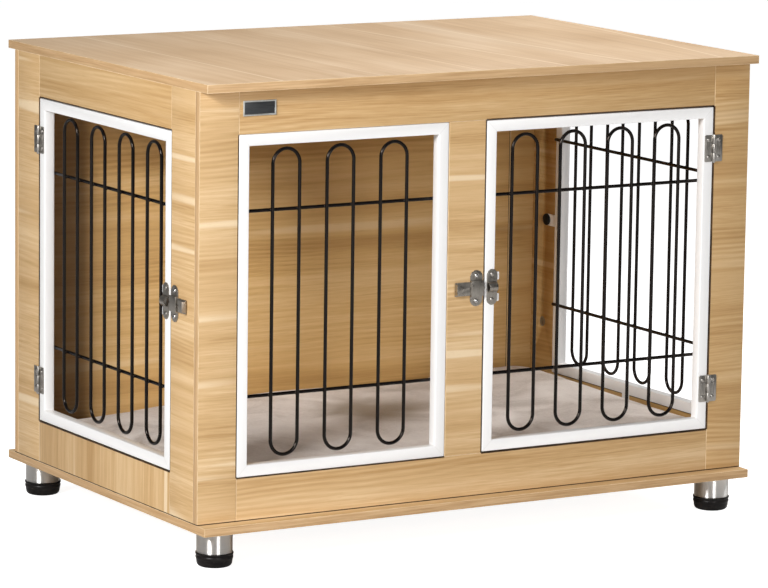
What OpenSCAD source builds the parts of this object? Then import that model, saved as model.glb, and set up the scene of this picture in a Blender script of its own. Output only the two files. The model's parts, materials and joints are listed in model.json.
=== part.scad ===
// Furniture-style wooden dog crate with barred swing doors on its front and left side.
// Origin on the floor under the middle, +X right, -Y front, +Z up, millimetres.

/* [Overall] */
// Width over the boards
width = 900; // [820:5:1000]
// Depth of the top and bottom boards
depth = 615; // [560:5:700]
// Height from the floor to the table top
height = 670; // [620:5:760]
// Thickness of every board
board_t = 12; // [11:1:18]
// Overhang of the top and bottom boards at the front and the back
overhang = 22; // [10:1:40]

/* [Boards] */
// Width of the three front stiles
front_stile = 60.5; // [56:0.5:75]
// Offset of the centre stile from the middle, along X
centre_x = -26.25; // [-60:1:40]
// Width of the side stiles
side_stile = 69; // [62:1:85]
// Width of all the rails
rail_w = 61; // [56:1:75]

/* [Panels] */
// Outer size of the square steel tube
tube = 16; // [15:0.5:20]
// Wall of the square steel tube
tube_wall = 1.2; // [0.8:0.1:2]
// Gap round a door
door_gap = 1.4; // [1:0.1:2.5]
// Gap round a fixed panel
panel_gap = 0.5; // [0.3:0.1:2]
// Diameter of the grille wire
wire = 5; // [4:0.5:6]
// Width of a wire loop between wire centres
loop_w = 42; // [34:1:46]
// Gap between a loop and the frame above and below it
loop_gap = 5.2; // [2:0.1:20]
// Height of the crossbars in from the frame's outer edges
bar_drop = 108; // [70:1:150]
// Inset of the crossbar ends from the frame's outer edges
bar_inset = 2.5; // [2:0.5:10]
// Loops in the fixed front panel
fixed_loops = 3; // [2:1:3]
// Free space between the fixed panel's frame and its outer loops
fixed_end = 41.2; // [20:0.1:50]
// Loops in the front door
door_loops = 4; // [2:1:4]
// Free space between the front door's frame and its outer loops
door_end = 31.8; // [15:0.1:45]
// Loops in each side panel
side_loops = 4; // [2:1:4]
// Free space between a side panel's frame and its outer loops
side_end = 34.5; // [15:0.1:45]
// Gap left between welded wires
weld_gap = 0.05; // [0.02:0.01:0.1]

/* [Fixed panel tabs] */
// Length of a tab beyond the frame
tab_l = 34; // [32:1:44]
// Width of a tab
tab_w = 18; // [14:1:20]
// Thickness of a tab
tab_t = 1.5; // [1:0.1:3]
// Distance of a tab's screw from the frame
tab_screw = 25; // [20:0.1:29]
// Diameter of the black screw head
knob_d = 18; // [14:0.5:19]
// Height of the black screw head
knob_h = 4.5; // [3:0.1:6]
// Diameter of the black screw shank
knob_shank = 4; // [3:0.1:5]
// Depth of the black screw in its board
knob_bite = 9; // [7:0.5:10]
// Width of the black screw's cross slot
knob_slot = 1.2; // [0.8:0.1:1.6]

/* [Hinges] */
// Height of a hinge
hinge_h = 39; // [30:1:60]
// Reach of each leaf from the pin
hinge_leaf = 15; // [13:0.5:20]
// Thickness of a leaf
leaf_t = 1.2; // [0.8:0.1:1.6]
// Radius of a knuckle
knuckle_r = 2.3; // [2.1:0.1:3]
// Diameter of the hinge pin
pin_d = 2.5; // [2:0.1:3]
// Radial clearance of the pin in the door leaf
pin_play = 0.05; // [0.02:0.01:0.08]
// Gap between neighbouring knuckles
knuckle_gap = 0.3; // [0.2:0.1:0.6]
// Height of a hinge's middle in from the door's outer edge
hinge_drop = 59.6; // [35:0.1:90]
// Height of a leaf screw in from the leaf's end
leaf_screw = 7; // [5:0.5:10]
// Height of a pin's end cap
pin_cap = 0.8; // [0.5:0.1:1.5]

/* [Latches] */
// Height of the latches above the floor
latch_z = 360; // [300:1:420]
// Height of the latch plates
plate_h = 51; // [46:1:60]
// Width of the body plate
body_w = 20; // [17:0.5:24]
// Distance of the body plate from the middle of the door gap
body_off = 4; // [3:0.5:8]
// Width of the keeper plate
keeper_w = 17; // [14:0.5:17]
// Distance of the keeper plate from the middle of the door gap
keeper_off = 3.5; // [3:0.1:5]
// Thickness of the stamped plates
plate_t = 1.2; // [0.8:0.1:1.4]
// Thickness of the sliding bolt
bolt_t = 1.8; // [1.2:0.1:2.4]
// Height of the sliding bolt's wide part
bolt_h = 19.2; // [16:0.1:22]
// Height of the sliding bolt's tongue
tongue_h = 9.4; // [7:0.1:10]
// Length of the sliding bolt's tongue
tongue_l = 8.2; // [7:0.1:8.5]
// Travel of the bolt
bolt_travel = 11; // [8:0.5:11]
// Distance of the drawn tongue from the middle of the door gap
tongue_off = 0.8; // [0.8:0.1:2]
// Length of the bolt over all
bolt_l = 48.7; // [46:0.1:56]
// Play between the bolt and its guide
slide_play = 0.2; // [0.1:0.05:0.5]
// Rise of the bolt's thumb tab above the bolt
thumb_h = 5.6; // [3:0.1:8]
// Reach of the thumb tab's lip
lip_l = 1.4; // [0.8:0.1:2.5]
// Diameter of the pip that stops the bolt
pip_d = 3; // [2:0.1:4]
// Height of the pip
pip_h = 1.1; // [0.8:0.1:1.4]
// Radius of the guide pin under the bridge
guide_r = 1.2; // [0.8:0.1:1.8]
// Distance of the guide pin from the body plate's middle
guide_off = 1; // [0:0.5:4]
// Height of a plate screw in from the plate's end
plate_screw = 7.5; // [6.5:0.5:9]
// Inner radius of the keeper's arch
arch_r = 6.6; // [6.2:0.1:7.5]
// Inset of the arch from the keeper's sides
arch_in = 1.5; // [0.5:0.1:4]
// Height of a white lug beside the keeper
lug_h = 11; // [8:0.5:12]
// Distance of a lug's middle from the latch's middle
lug_off = 15.3; // [14:0.1:19]
// Thickness of a lug
lug_t = 2; // [1.5:0.1:3]
// Reach of a lug beyond the keeper
lug_reach = 3.5; // [1:0.5:8]

/* [Screws] */
// Diameter of the small screws
screw_d = 3; // [2.5:0.1:3.5]
// Depth of a small screw below its plate
screw_l = 8; // [6:0.5:9]
// Diameter of a small screw head
head_d = 5.6; // [5:0.1:6.4]
// Height of a small screw head
head_h = 1.5; // [1.2:0.1:2.2]
// Width of a small screw's cross slot
head_slot = 0.7; // [0.5:0.1:1]
// Radial clearance of a screw, dowel or bolt in its hole
hole_play = 0.05; // [0.03:0.01:0.2]

/* [Door stops] */
// Thickness of a stop plate
stop_t = 1.5; // [1:0.1:2.5]
// Width of a stop plate
stop_w = 16; // [12:1:24]
// Length of a stop's foot on the stile
stop_foot = 16; // [12:1:20]
// Reach of a stop behind the door frame
stop_reach = 11; // [6:1:13]
// Height of a stop's middle in from the door's outer edge
stop_drop = 46; // [30:1:70]
// Play between a stop and a shut door
stop_play = 0.3; // [0.3:0.1:1]

/* [Inner fixings] */
// Diameter of the cam locks
cam_d = 15; // [12:0.5:16]
// Depth of the cam locks
cam_h = 9.5; // [9:0.1:10]
// Width of the slot in a cam lock
cam_slot = 1.2; // [0.8:0.1:2]
// Distance of a cam's centre from the joint
cam_off = 34; // [30:0.5:38]
// Height of the side cams in from the carcass's top and bottom
cam_drop = 136; // [110:1:170]
// Diameter of a cam bolt's shank
cam_bolt = 6; // [5:0.1:6.6]
// Diameter of a cam bolt's thread
cam_thread = 5; // [4:0.1:6]
// Depth of a cam bolt's thread in its board
cam_bite = 9; // [7:0.5:9.5]
// Diameter of the wooden dowels
dowel_d = 6; // [5:0.1:7]
// Length of the wooden dowels
dowel_l = 30; // [24:1:36]
// Height of a dowel from the rail's middle line
dowel_off = 18; // [12:1:22]
// Length of the base screws
base_l = 45; // [35:1:50]
// Diameter of the base screws
base_d = 5; // [4:0.1:6]
// Diameter of the base screws' heads
base_head = 8.5; // [7:0.1:10]
// Depth of the base screws' heads in the board
base_sink = 2.5; // [2:0.1:4]
// Width across the base screws' hex socket
base_hex = 3.5; // [3:0.1:5]
// Distance of the outer front and back base screws from the end stiles' inner edges
base_in = 49.5; // [30:0.5:80]
// Distance of the side base screws from the side openings
base_side = 20; // [12:0.5:30]

/* [Legs] */
// Gap under the bottom board
leg_h = 50; // [44:1:70]
// Diameter of the leg tube
leg_d = 50; // [44:1:56]
// Wall of the leg tube
leg_wall = 1.2; // [1:0.1:2]
// Thickness of the leg's top disc
leg_disc = 2.5; // [2:0.1:4]
// Distance of a leg's centre from the board's side edge
leg_in_x = 37; // [34:0.5:48]
// Distance of a leg's centre from the board's front edge
leg_in_y = 40; // [34:0.5:60]
// Height of the black foot
foot_h = 20; // [18:0.5:26]
// Depth of the leg tube in the foot's rim
foot_lap = 2.7; // [2:0.1:4]
// Wall of the foot's rim
foot_rim = 1.3; // [1:0.1:2.5]
// Radial clearance of the leg tube in the foot's rim
foot_play = 0.2; // [0.1:0.05:0.5]
// Radius of the foot's rounded base
foot_round = 7; // [4:0.5:9]
// Depth of the grooves round the foot
foot_groove = 0.7; // [0.4:0.1:1]
// Travel of a levelling foot
foot_travel = 10; // [5:0.5:12]
// Radius of the levelling stud
stud_r = 5; // [4:0.1:6]
// Thickness of the threaded plug in the leg tube
plug_h = 10; // [8:0.5:12]
// Gap between the plug and the foot's rim
plug_gap = 2; // [1:0.5:4]
// Circle of the leg screws
leg_pcd = 30; // [26:0.5:34]
// Length of the leg screws above the disc
leg_screw = 9; // [7:0.5:9.5]

/* [Nameplate] */
// Width of the blank nameplate
name_w = 51; // [40:1:70]
// Height of the blank nameplate
name_h = 21; // [16:0.5:26]
// Thickness of the nameplate's rim
name_t = 1.6; // [1.2:0.1:2.5]
// Distance of the nameplate from the left stile
name_off = 5.5; // [3:0.5:20]
// Width of the nameplate's silver rim
name_rim = 2.2; // [1.5:0.1:3]
// Height of the nameplate's middle above the front opening
name_rise = 35.4; // [16:0.1:45]

/* [Cushion] */
// Thickness of the cushion at its crown
pad_h = 58; // [40:1:60]
// Thickness of the cushion at its edge
pad_edge = 47; // [30:1:50]
// Free space between the cushion and the walls
pad_play = 3; // [1:0.5:10]
// Depth that the cushion's sides draw in between its corners
pad_waist = 5; // [2:0.5:12]
// Radius of the cushion's corners in plan
pad_corner = 30; // [15:1:60]

/* [Hidden] */
$fn = 48;
half_w = width / 2;
half_d = depth / 2;
box_z0 = leg_h + board_t;
box_z1 = height - board_t;
box_h = box_z1 - box_z0;
face_y = half_d - overhang;
in_y = face_y - board_t;
in_x = half_w - board_t;
open_z0 = box_z0 + rail_w;
open_z1 = box_z1 - rail_w;
open_h = open_z1 - open_z0;
open_z = (open_z0 + open_z1) / 2;
front_x = half_w - front_stile;
mid_x0 = centre_x - front_stile / 2;
mid_x1 = centre_x + front_stile / 2;
side_y = in_y - side_stile;
// Openings and panels: width of the opening, then the panel inside it.
fixed_w = mid_x0 + front_x;
fixed_x = (mid_x0 - front_x) / 2;
door_w = front_x - mid_x1;
door_x = (front_x + mid_x1) / 2;
side_w = 2 * side_y;
door_h = open_h - 2 * door_gap;
panel_h = open_h - 2 * panel_gap;
// Level of the loops and the crossbars, measured back from the outer face.
loop_depth = tube - wire / 2;
bar_depth = tube + wire / 2 + weld_gap;
cut = 1;
hair = 0.01;
grip = 0.3;
// Middle of the door gap at the latch side and at the hinge side.
front_latch_x = mid_x1 + door_gap / 2;
front_hinge_x = front_x - door_gap / 2;
side_latch_y = -side_y + door_gap / 2;
side_hinge_y = side_y - door_gap / 2;
hinge_zs = [open_z0 + door_gap + hinge_drop, open_z1 - door_gap - hinge_drop];
stop_zs = [open_z0 + door_gap + stop_drop, open_z1 - door_gap - stop_drop];
slide_w0 = plate_t + slide_play;
bridge_w = plate_t + bolt_t + 2 * slide_play;
bridge_v = bolt_h / 2 + slide_play;
guide_u = body_off + body_w / 2 - guide_off;
knuckle_h = (hinge_h - 2 * knuckle_gap) / 3;
cam_zs = [box_z0 + cam_drop, box_z1 - cam_drop];
board_mid = board_t / 2;
leg_x = half_w - leg_in_x;
leg_y = half_d - leg_in_y;
foot_floor = foot_h - foot_lap - grip;
plug_z = foot_h + plug_gap;
base_x = front_x - base_in;
lip_t = plate_t;
body_u = -body_off - body_w / 2;
keeper_u = keeper_off + keeper_w / 2;
// Cushion: half sizes, level of its underside and points of one row.
pad_x = in_x - pad_play;
pad_y = in_y - pad_play;
pad_z = box_z0 + grip;
pad_arc = 4;
pad_side = 8;
pad_n = 4 * (pad_arc + 1 + pad_side);
WOOD = [0.82, 0.67, 0.47];
WHITE = [0.95, 0.95, 0.94];
BLACK = [0.06, 0.05, 0.05];
STEEL = [0.62, 0.61, 0.60];

// A box given by its two opposite corners.
module slab(lo, hi) {
  translate(lo)
    cube(hi - lo);
}

// Local axes on the front face: u along +X, v along +Z, w out of the face.
module on_front(x, z) {
  translate([x, -face_y, z])
    rotate([90, 0, 0])
      children();
}

// Local axes on the left face: u along +Y, v along +Z, w out of the face.
module on_left(y, z) {
  translate([-half_w, y, z])
    rotate([90, 0, -90])
      mirror([1, 0, 0])
        children();
}

// Local axes on the right face: u along +Y, v along +Z, w out of the face.
module on_right(y, z) {
  translate([half_w, y, z])
    rotate([90, 0, 90])
      children();
}

module wood() {
  color(WOOD)
    children();
}

// Small screw seen from its plate: shank down -w, head above the plate.
module small_screw(reach, plate) {
  translate([0, 0, -reach])
    cylinder(d = screw_d, h = reach + plate);
  difference() {
    union() {
      translate([0, 0, plate])
        cylinder(d = head_d, h = head_h * 0.4);
      translate([0, 0, plate + head_h * 0.4])
        cylinder(d1 = head_d, d2 = head_d * 0.62, h = head_h * 0.6);
    }
    translate([-head_d * 0.27, -head_slot / 2, plate + head_h * 0.5])
      cube([head_d * 0.54, head_slot, head_h]);
    translate([-head_slot / 2, -head_d * 0.27, plate + head_h * 0.5])
      cube([head_slot, head_d * 0.54, head_h]);
  }
}

module screw_hole(reach, out) {
  translate([0, 0, -reach - grip])
    cylinder(d = screw_d + 2 * hole_play, h = reach + grip + out);
}

// Places of the screws of one hinge leaf, side -1 on the door and 1 on the stile.
module at_leaf_screws(side) {
  for (v = [-1, 1])
    translate([side * (hinge_leaf + knuckle_r) / 2, v * (hinge_h / 2 - leaf_screw), 0])
      children();
}

// Places of the screws of a latch plate whose middle lies at u.
module at_plate_screws(u) {
  for (v = [-1, 1])
    translate([u, v * (plate_h / 2 - plate_screw), 0])
      children();
}

// Screw places on the stiles and on the doors, as children of on_front or on_left.
module front_stile_points() {
  for (z = hinge_zs)
    on_front(front_hinge_x, z)
      at_leaf_screws(1)
        children();
}

module front_body_points() {
  on_front(front_latch_x, latch_z)
    at_plate_screws(body_u)
      children();
}

module left_stile_points() {
  for (z = hinge_zs)
    on_left(side_hinge_y, z)
      at_leaf_screws(1)
        children();
}

module left_body_points() {
  on_left(side_latch_y, latch_z)
    at_plate_screws(body_u)
      children();
}

module front_door_points() {
  for (z = hinge_zs)
    on_front(front_hinge_x, z)
      at_leaf_screws(-1)
        children();
  on_front(front_latch_x, latch_z)
    at_plate_screws(keeper_u)
      children();
}

module left_door_points() {
  for (z = hinge_zs)
    on_left(side_hinge_y, z)
      at_leaf_screws(-1)
        children();
  on_left(side_latch_y, latch_z)
    at_plate_screws(keeper_u)
      children();
}

// Stop screws start on the board's inner face and point outwards.
module front_stop_points() {
  for (z = stop_zs)
    on_front(front_latch_x, z)
      translate([-door_gap / 2 - stop_foot / 2, 0, -board_t])
        mirror([0, 0, 1])
          children();
}

module left_stop_points() {
  for (z = stop_zs)
    on_left(side_latch_y, z)
      translate([-door_gap / 2 - stop_foot / 2, 0, -board_t])
        mirror([0, 0, 1])
          children();
}

// Tab places round a fixed panel: u runs out from the frame, w points inwards.
module at_tabs(pw, ph) {
  for (side = [0, 180])
    rotate([0, 0, side])
      translate([pw / 2, 0, -board_t])
        mirror([0, 0, 1])
          children();
  for (side = [90, 270])
    rotate([0, 0, side])
      translate([ph / 2, 0, -board_t])
        mirror([0, 0, 1])
          children();
}

module front_tab_points() {
  on_front(fixed_x, open_z)
    at_tabs(fixed_w - 2 * panel_gap, panel_h)
      children();
}

module right_tab_points() {
  on_right(0, open_z)
    at_tabs(side_w - 2 * panel_gap, panel_h)
      children();
}

module knob_hole() {
  translate([tab_screw, 0, -knob_bite - grip])
    cylinder(d = knob_shank + 2 * hole_play, h = knob_bite + grip + cut);
}

// Cam places: z runs from the cam's centre along the bolt, x into the board.
module side_cams(sx, sy) {
  for (z = cam_zs)
    translate([sx * in_x, sy * (in_y - cam_off), z])
      mirror([sx < 0 ? 1 : 0, 0, 0])
        mirror([0, sy < 0 ? 1 : 0, 0])
          rotate([-90, 0, 0])
            children();
}

module top_cams(sx, sy) {
  translate([sx * in_x, sy * (in_y - side_stile / 2), box_z1 - cam_off])
    mirror([sx < 0 ? 1 : 0, 0, 0])
      children();
}

module cam_recess() {
  rotate([0, 90, 0])
    translate([0, 0, -cut])
      cylinder(d = cam_d + 2 * hole_play, h = cam_h + cut + grip);
}

module cam_bolt_hole() {
  translate([board_mid, 0, 0])
    cylinder(d = cam_bolt + 2 * hole_play, h = cam_off + cut);
}

module cam_thread_hole() {
  translate([board_mid, 0, cam_off - cut])
    cylinder(d = cam_thread + 2 * hole_play, h = cam_bite + grip + cut);
}

// Dowel places at the rail ends of the front, along X.
module front_dowel_points() {
  for (sx = [-1, 1], z = [box_z0 + rail_w / 2, box_z1 - rail_w / 2], dz = [-1, 1])
    translate([sx * front_x, -face_y + board_mid, z + dz * dowel_off])
      rotate([0, 90, 0])
        children();
  for (z = [open_z0, open_z1], dx = [-1, 1])
    translate([centre_x + dx * dowel_off, -face_y + board_mid, z])
      children();
}

module side_dowel_points(sx) {
  for (sy = [-1, 1], z = [box_z0 + rail_w / 2, box_z1 - rail_w / 2], dz = [-1, 1])
    translate([sx * (half_w - board_mid), sy * side_y, z + dz * dowel_off])
      rotate([90, 0, 0])
        children();
}

module dowel_hole() {
  cylinder(d = dowel_d + 2 * hole_play, h = dowel_l + 2 * grip, center = true);
}

// Base screws go up from the bottom board's underside.
module side_base_points(sx) {
  for (sy = [-1, 1])
    translate([sx * (half_w - board_mid), sy * (side_y + base_side), leg_h])
      children();
}

module front_base_points() {
  for (x = [-base_x, centre_x, base_x])
    translate([x, -face_y + board_mid, leg_h])
      children();
}

module back_base_points() {
  for (x = [-base_x, 0, base_x])
    translate([x, face_y - board_mid, leg_h])
      children();
}

module all_base_points() {
  side_base_points(-1)
    children();
  side_base_points(1)
    children();
  front_base_points()
    children();
  back_base_points()
    children();
}

module base_hole() {
  translate([0, 0, -cut])
    cylinder(d = base_head + 2 * hole_play, h = base_sink + cut);
  cylinder(d = base_d + 2 * hole_play, h = base_l + grip);
}

module at_legs() {
  for (sx = [-1, 1], sy = [-1, 1])
    translate([sx * leg_x, sy * leg_y, 0])
      children();
}

module at_leg_screws() {
  at_legs()
    for (a = [90, 210, 330])
      rotate([0, 0, a])
        translate([leg_pcd / 2, 0, leg_h])
          children();
}

module top_board() {
  wood()
    difference() {
      slab([-half_w, -half_d, box_z1], [half_w, half_d, height]);
      for (sx = [-1, 1], sy = [-1, 1])
        top_cams(sx, sy)
          cam_thread_hole();
    }
}

module bottom_board() {
  wood()
    difference() {
      slab([-half_w, -half_d, leg_h], [half_w, half_d, box_z0]);
      all_base_points()
        base_hole();
      at_leg_screws()
        translate([0, 0, -cut])
          cylinder(d = screw_d + 2 * hole_play, h = leg_screw + grip + cut);
    }
}

module back_panel() {
  wood()
    difference() {
      slab([-half_w, in_y, box_z0], [half_w, face_y, box_z1]);
      for (sx = [-1, 1])
        side_cams(sx, 1)
          cam_thread_hole();
      back_base_points()
        base_hole();
    }
}

module front_left_stile() {
  wood()
    difference() {
      slab([-half_w, -face_y, box_z0], [-front_x, -in_y, box_z1]);
      side_cams(-1, -1)
        cam_thread_hole();
      front_dowel_points()
        dowel_hole();
      front_tab_points()
        knob_hole();
    }
}

module front_centre_stile() {
  wood()
    difference() {
      slab([mid_x0, -face_y, open_z0], [mid_x1, -in_y, open_z1]);
      front_dowel_points()
        dowel_hole();
      front_tab_points()
        knob_hole();
      front_body_points()
        screw_hole(screw_l, cut);
      front_stop_points()
        screw_hole(screw_l, cut);
    }
}

module front_right_stile() {
  wood()
    difference() {
      slab([front_x, -face_y, box_z0], [half_w, -in_y, box_z1]);
      side_cams(1, -1)
        cam_thread_hole();
      front_dowel_points()
        dowel_hole();
      front_stile_points()
        screw_hole(screw_l, cut);
    }
}

module front_top_rail() {
  wood()
    difference() {
      slab([-front_x, -face_y, open_z1], [front_x, -in_y, box_z1]);
      front_dowel_points()
        dowel_hole();
      front_tab_points()
        knob_hole();
    }
}

module front_bottom_rail() {
  wood()
    difference() {
      slab([-front_x, -face_y, box_z0], [front_x, -in_y, open_z0]);
      front_dowel_points()
        dowel_hole();
      front_tab_points()
        knob_hole();
      front_base_points()
        base_hole();
    }
}

// Side stile: sx -1 left or 1 right, sy -1 front or 1 back.
module side_stile_board(sx, sy) {
  difference() {
    slab([sx < 0 ? -half_w : in_x, sy < 0 ? -in_y : side_y, box_z0],
         [sx < 0 ? -in_x : half_w, sy < 0 ? -side_y : in_y, box_z1]);
    side_cams(sx, sy)
      union() {
        cam_recess();
        cam_bolt_hole();
      }
    top_cams(sx, sy)
      union() {
        cam_recess();
        cam_bolt_hole();
      }
    side_dowel_points(sx)
      dowel_hole();
    side_base_points(sx)
      base_hole();
  }
}

module left_front_stile() {
  wood()
    difference() {
      side_stile_board(-1, -1);
      left_body_points()
        screw_hole(screw_l, cut);
      left_stop_points()
        screw_hole(screw_l, cut);
    }
}

module left_back_stile() {
  wood()
    difference() {
      side_stile_board(-1, 1);
      left_stile_points()
        screw_hole(screw_l, cut);
    }
}

module right_front_stile() {
  wood()
    difference() {
      side_stile_board(1, -1);
      right_tab_points()
        knob_hole();
    }
}

module right_back_stile() {
  wood()
    difference() {
      side_stile_board(1, 1);
      right_tab_points()
        knob_hole();
    }
}

// Side rail: sx -1 left or 1 right, between two heights.
module side_rail_board(sx, z0, z1) {
  difference() {
    slab([sx < 0 ? -half_w : in_x, -side_y, z0], [sx < 0 ? -in_x : half_w, side_y, z1]);
    side_dowel_points(sx)
      dowel_hole();
  }
}

module left_top_rail() {
  wood()
    side_rail_board(-1, open_z1, box_z1);
}

module left_bottom_rail() {
  wood()
    side_rail_board(-1, box_z0, open_z0);
}

module right_top_rail() {
  wood()
    difference() {
      side_rail_board(1, open_z1, box_z1);
      right_tab_points()
        knob_hole();
    }
}

module right_bottom_rail() {
  wood()
    difference() {
      side_rail_board(1, box_z0, open_z0);
      right_tab_points()
        knob_hole();
    }
}

module dowels() {
  color([0.86, 0.76, 0.58]) {
    front_dowel_points()
      cylinder(d = dowel_d, h = dowel_l, center = true);
    for (sx = [-1, 1])
      side_dowel_points(sx)
        cylinder(d = dowel_d, h = dowel_l, center = true);
  }
}

module cam_lock() {
  difference() {
    rotate([0, 90, 0])
      cylinder(d = cam_d, h = cam_h);
    translate([board_mid, 0, -grip])
      cylinder(d = cam_bolt + 2 * hole_play, h = cam_d);
    translate([-hair, -cam_d * 0.3, -cam_slot / 2])
      cube([2 + hair, cam_d * 0.6, cam_slot]);
  }
}

module cam_bolt_piece() {
  translate([board_mid, 0, 0])
    cylinder(d = cam_bolt, h = cam_off);
  translate([board_mid, 0, cam_off])
    cylinder(d = cam_thread, h = cam_bite);
}

module all_cam_places() {
  for (sx = [-1, 1], sy = [-1, 1]) {
    side_cams(sx, sy)
      children();
    top_cams(sx, sy)
      children();
  }
}

module cam_locks() {
  color(STEEL)
    all_cam_places()
      cam_lock();
}

module cam_bolts() {
  color(STEEL)
    all_cam_places()
      cam_bolt_piece();
}

module base_screws() {
  color(STEEL)
    all_base_points()
      difference() {
        union() {
          cylinder(d = base_head, h = base_sink);
          cylinder(d = base_d, h = base_l);
        }
        translate([0, 0, -cut])
          cylinder(d = base_hex, h = cut + base_sink * 0.64, $fn = 6);
      }
}

module leg_tubes() {
  color(STEEL)
    at_legs()
      difference() {
        translate([0, 0, foot_h - foot_lap])
          cylinder(d = leg_d, h = leg_h - foot_h + foot_lap, $fn = 72);
        translate([0, 0, -cut])
          cylinder(d = leg_d - 2 * leg_wall, h = leg_h - leg_disc + cut, $fn = 72);
        for (a = [90, 210, 330])
          rotate([0, 0, a])
            translate([leg_pcd / 2, 0, leg_h - leg_disc - cut])
              cylinder(d = screw_d + 2 * hole_play, h = leg_disc + 2 * cut);
      }
}

module leg_screws() {
  color(STEEL)
    at_leg_screws()
      mirror([0, 0, 1])
        small_screw(leg_screw, leg_disc);
}

module leg_plugs() {
  color(BLACK)
    at_legs()
      translate([0, 0, plug_z])
        difference() {
          cylinder(r = leg_d / 2 - leg_wall - hole_play, h = plug_h, $fn = 72);
          translate([0, 0, -cut])
            cylinder(r = stud_r + hole_play, h = plug_h + 2 * cut);
        }
}

// Levelling foot: ribbed rim round the tube, rounded base and a stud in the plug.
module foot(sx, sy) {
  seat_r = leg_d / 2 + foot_play;
  rim_r = seat_r + foot_rim;
  neck_r = rim_r - foot_groove - 0.4;
  top = plug_z + plug_h + foot_travel;
  color(BLACK)
    translate([sx * leg_x, sy * leg_y, 0])
      rotate_extrude($fn = 72)
        polygon([
          [0, 0], [rim_r - foot_round, 0], [rim_r - foot_round * 0.57, foot_round * 0.14],
          [rim_r - foot_round * 0.31, foot_round * 0.46], [neck_r - 0.5, foot_round * 0.86],
          [neck_r, foot_h * 0.55], [neck_r + foot_groove, foot_h * 0.6],
          [neck_r + foot_groove, foot_h * 0.72], [neck_r, foot_h * 0.76],
          [neck_r, foot_h - 3.6], [rim_r, foot_h - 3], [rim_r, foot_h - 0.6],
          [rim_r - 0.5, foot_h], [seat_r, foot_h], [seat_r, foot_floor],
          [stud_r, foot_floor], [stud_r, top], [0, top]
        ]);
}

module foot_front_left() {
  foot(-1, -1);
}

module foot_front_right() {
  foot(1, -1);
}

module foot_back_left() {
  foot(-1, 1);
}

module foot_back_right() {
  foot(1, 1);
}

// One mitred square tube along u, its outer edge on v = 0.
module mitred_tube(l) {
  difference() {
    translate([0, 0, -tube])
      linear_extrude(tube)
        polygon([
          [weld_gap - l / 2, 0], [l / 2 - weld_gap, 0],
          [l / 2 - weld_gap - tube, -tube], [weld_gap + tube - l / 2, -tube]
        ]);
    translate([0, 0, tube_wall - tube])
      linear_extrude(tube - 2 * tube_wall)
        polygon([
          [tube_wall - l / 2 - cut, -tube_wall],
          [l / 2 - tube_wall + cut, -tube_wall],
          [l / 2 - tube + tube_wall + cut, tube_wall - tube],
          [tube - tube_wall - l / 2 - cut, tube_wall - tube]
        ]);
  }
}

module panel_frame(pw, ph) {
  color(WHITE) {
    for (side = [0, 180])
      rotate([0, 0, side])
        translate([0, ph / 2, 0])
          mitred_tube(pw);
    for (side = [90, 270])
      rotate([0, 0, side])
        translate([0, pw / 2, 0])
          mitred_tube(ph);
  }
}

// White lugs beside the keeper, welded to the door frame's latch side.
module keeper_lugs(pw) {
  color(WHITE)
    for (v = [-1, 1])
      translate([-pw / 2 + tube, latch_z - open_z + v * lug_off - lug_h / 2, -lug_t])
        cube([keeper_off - door_gap / 2 + keeper_w - tube + lug_reach, lug_h, lug_t]);
}

module wire_loop(h) {
  leg = h - loop_w - wire;
  for (side = [-1, 1])
    translate([side * loop_w / 2, 0, 0])
      rotate([90, 0, 0])
        cylinder(d = wire, h = leg, center = true, $fn = 24);
  for (turn = [0, 180])
    rotate([0, 0, turn])
      translate([0, leg / 2, 0])
        rotate_extrude(angle = 180)
          translate([loop_w / 2, 0])
            circle(d = wire, $fn = 24);
}

// Loops stand behind the frame's face, crossbars lie on its inner side.
module panel_grille(pw, ph, loops, end_gap) {
  inner = pw - 2 * tube;
  pitch = (inner - 2 * end_gap - loop_w - wire) / (loops - 1);
  color(BLACK) {
    for (i = [0:loops - 1])
      translate([(i - (loops - 1) / 2) * pitch, 0, -loop_depth])
        wire_loop(ph - 2 * tube - 2 * loop_gap);
    for (side = [-1, 1])
      translate([0, side * (ph / 2 - bar_drop), -bar_depth])
        rotate([0, 90, 0])
          cylinder(d = wire, h = pw - 2 * bar_inset, center = true, $fn = 24);
  }
}

module front_panel_frame() {
  on_front(fixed_x, open_z)
    panel_frame(fixed_w - 2 * panel_gap, panel_h);
}

module front_panel_grille() {
  on_front(fixed_x, open_z)
    panel_grille(fixed_w - 2 * panel_gap, panel_h, fixed_loops, fixed_end);
}

module right_panel_frame() {
  on_right(0, open_z)
    panel_frame(side_w - 2 * panel_gap, panel_h);
}

module right_panel_grille() {
  on_right(0, open_z)
    panel_grille(side_w - 2 * panel_gap, panel_h, side_loops, side_end);
}

module fixing_tab() {
  difference() {
    union() {
      translate([0, -tab_w / 2, 0])
        cube([tab_l - tab_w / 2, tab_w, tab_t]);
      translate([tab_l - tab_w / 2, 0, 0])
        cylinder(d = tab_w, h = tab_t);
    }
    translate([tab_screw, 0, -cut])
      cylinder(d = knob_shank + 2 * hole_play, h = tab_t + 2 * cut);
  }
}

module panel_tabs() {
  color(WHITE) {
    front_tab_points()
      fixing_tab();
    right_tab_points()
      fixing_tab();
  }
}

module knob_screw() {
  translate([tab_screw, 0, -knob_bite])
    cylinder(d = knob_shank, h = knob_bite + tab_t);
  translate([tab_screw, 0, tab_t])
    difference() {
      rotate_extrude()
        polygon([
          [0, 0], [knob_d / 2, 0], [knob_d / 2, knob_h * 0.5],
          [knob_d * 0.42, knob_h * 0.85], [knob_d * 0.3, knob_h], [0, knob_h]
        ]);
      translate([-knob_d * 0.25, -knob_slot / 2, knob_h * 0.6])
        cube([knob_d * 0.5, knob_slot, knob_h]);
      translate([-knob_slot / 2, -knob_d * 0.25, knob_h * 0.6])
        cube([knob_slot, knob_d * 0.5, knob_h]);
    }
}

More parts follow.
